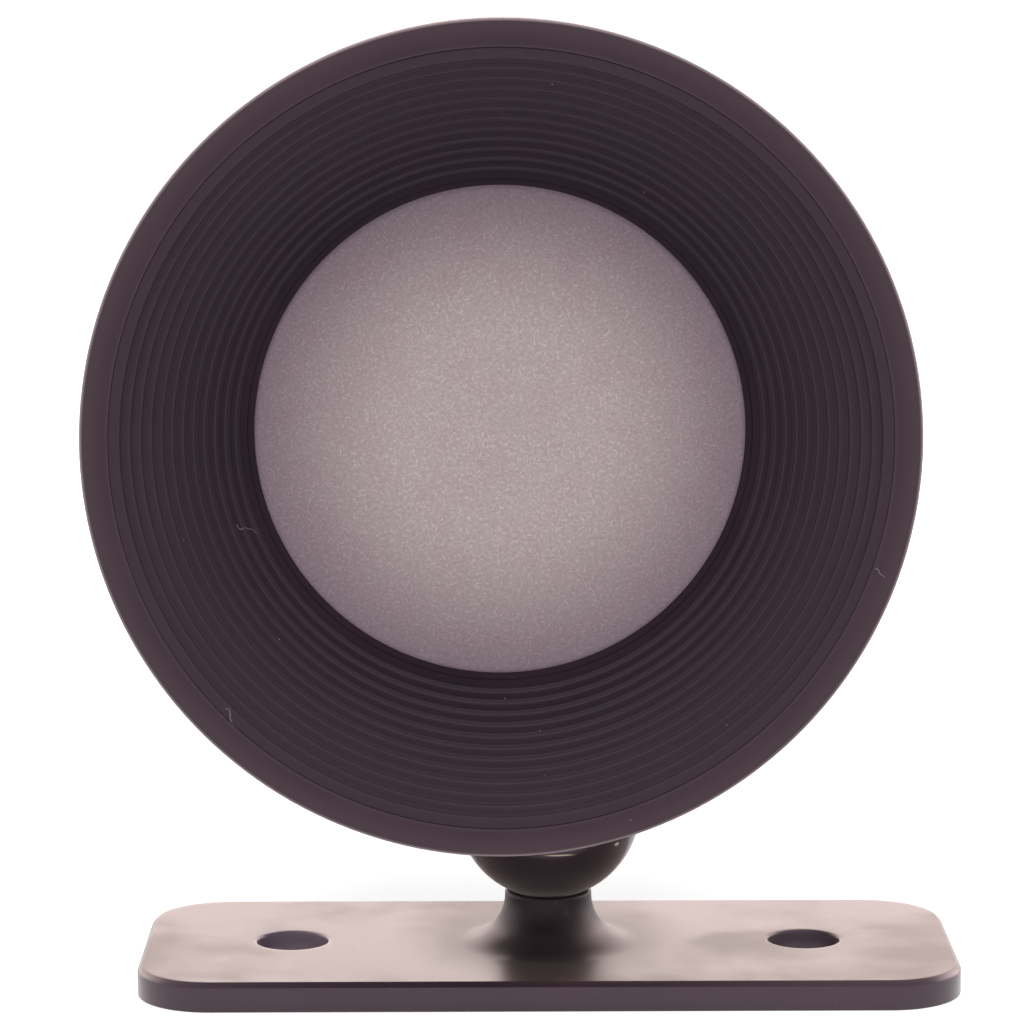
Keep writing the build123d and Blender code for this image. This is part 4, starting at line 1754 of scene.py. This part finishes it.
@dataclass(frozen=True)
class SoftLamp:
    """An oval lamp that faces the object, as bright as so many white surrounds."""

    name: str
    use: LampUse
    place: Place
    size: Point
    brightness: float
    colour: Colour = WHITE

    def build(self, target: Vector) -> None:
        """Create the lamp and turn it to the target.

        Args:
            target: The point to light, in metres.
        """
        data = bpy.data.lights.new(self.name, "AREA")
        data.shape = "ELLIPSE"
        data.size, data.size_y = (side * MM for side in self.size)
        area = math.pi / 4 * data.size * data.size_y
        data.energy = self.brightness * math.pi * area
        data.color = self.colour
        lamp = bpy.data.objects.new(self.name, data)
        lamp.location = Vector(self.place) * MM
        lamp.rotation_euler = (target - lamp.location).to_track_quat("-Z", "Y").to_euler()
        lamp.visible_diffuse = self.use is LampUse.SHADING
        lamp.visible_glossy = self.use is LampUse.MIRRORED
        bpy.context.scene.collection.objects.link(lamp)


@dataclass
class Studio:
    """Pale floor, white surround, soft lamps and the camera."""

    lens_mm: float = 141.775
    camera_place: Place = (-3.2075, -243.3283, 66.2272)
    camera_turn: Place = (81.2216, 0.1212, -0.2589)
    camera_reach: Point = (10.0, 100000.0)
    floor_half_width: float = 6000.0
    floor_drop: float = 0.03
    floor_colour: Colour = (0.93, 0.92, 0.925)
    floor_lift: float = 0.6
    mirrored_floor_lift: float = 0.8
    plain_light: float = 0.48
    lamps: ClassVar[tuple[SoftLamp, ...]] = (
        SoftLamp("key_lamp", LampUse.SHADING, (-40.0, -480.0, 970.0), (900.0, 900.0), 4.3),
        SoftLamp("back_panel", LampUse.MIRRORED, (0.0, 1500.0, 1300.0), (5000.0, 3400.0), 2.4,
                 (1.0, 0.78, 0.71)),
        SoftLamp("right_panel", LampUse.MIRRORED, (1600.0, 700.0, 500.0), (1800.0, 1800.0), 3.0,
                 (1.0, 0.86, 0.82)),
        SoftLamp("left_panel", LampUse.MIRRORED, (-1600.0, 700.0, 500.0), (1800.0, 1800.0), 1.6,
                 (1.0, 0.86, 0.82)),
    )

    def camera(self) -> None:
        """Create the camera at the fitted viewpoint."""
        data = bpy.data.cameras.new("camera")
        data.lens = self.lens_mm
        data.clip_start, data.clip_end = (reach * MM for reach in self.camera_reach)
        camera = bpy.data.objects.new("camera", data)
        camera.location = Vector(self.camera_place) * MM
        camera.rotation_euler = Euler([math.radians(angle) for angle in self.camera_turn])
        bpy.context.scene.collection.objects.link(camera)
        bpy.context.scene.camera = camera

    def floor(self) -> None:
        """Create the pale floor, which keeps the object's shadow."""
        bm = bmesh.new()
        half = self.floor_half_width
        corners = [(-half, -half), (half, -half), (half, half), (-half, half)]
        bm.faces.new([bm.verts.new(Vector((x, y, -self.floor_drop)) * MM) for x, y in corners])
        floor = finish_mesh("floor", bm)
        material = bpy.data.materials.new("pale_floor")
        material.use_nodes = True
        skin = Skin(material, Datum("floor", Spin.POST, Matrix.Identity(4)))
        direct, mirrored = self.seen(skin)
        lift = skin.maths(
            "MAXIMUM", skin.maths("MULTIPLY", direct, self.floor_lift),
            skin.maths("MULTIPLY", mirrored, self.mirrored_floor_lift))
        skin.wear(
            Base_Color=with_alpha(self.floor_colour), Roughness=1.0, Specular_IOR_Level=0.0,
            Emission_Color=with_alpha(WHITE), Emission_Strength=lift)
        floor.data.materials.append(material)

    @staticmethod
    def seen(sheet: NodeSheet) -> tuple[Socket, Socket]:
        """Tell how the surface is looked at.

        Args:
            sheet: The node tree of a material or the world.

        Returns:
            Two factors, 1 for camera rays and 1 for mirrored and transmitted rays.
        """
        path = sheet.add("LightPath").outputs
        mirrored = sheet.maths("MAXIMUM", path["Is Glossy Ray"], path["Is Transmission Ray"])
        return path["Is Camera Ray"], mirrored

    def surround(self) -> None:
        """White world, a little dimmer as a light than as a background."""
        world = bpy.data.worlds.new("surround")
        world.use_nodes = True
        bpy.context.scene.world = world
        sheet = NodeSheet(world.node_tree)
        background = sheet.tree.nodes["Background"]
        sheet.set(background, "Color", with_alpha(WHITE))
        shown = sheet.maths("MAXIMUM", *self.seen(sheet))
        sheet.set(background, "Strength", sheet.remap(shown, 0.0, 1.0, self.plain_light, 1.0))

    def build(self, target: Vector) -> None:
        """Build the whole stage.

        Args:
            target: The point that the lamps are turned to, in metres.
        """
        self.camera()
        self.floor()
        self.surround()
        for lamp in self.lamps:
            lamp.build(target)
        bpy.context.scene.view_settings.view_transform = "Standard"
        log.info("stage: camera, floor, surround and %d lamps", len(self.lamps))


def main() -> None:
    """Build and dress every sub-assembly in order, then the stage."""
    logging.basicConfig(level=logging.INFO, format="%(name)s: %(message)s")
    pose = Pose()
    for kind in (BasePlate, Ball, Liner, MagneticSeat, FrontRing, Optics, Drum, Driver, Rear):
        kind(pose).make()
        log.info("%s done", kind.__name__)
    Studio().build(pose.lamp.place.translation)


if __name__ == "__main__":
    main()
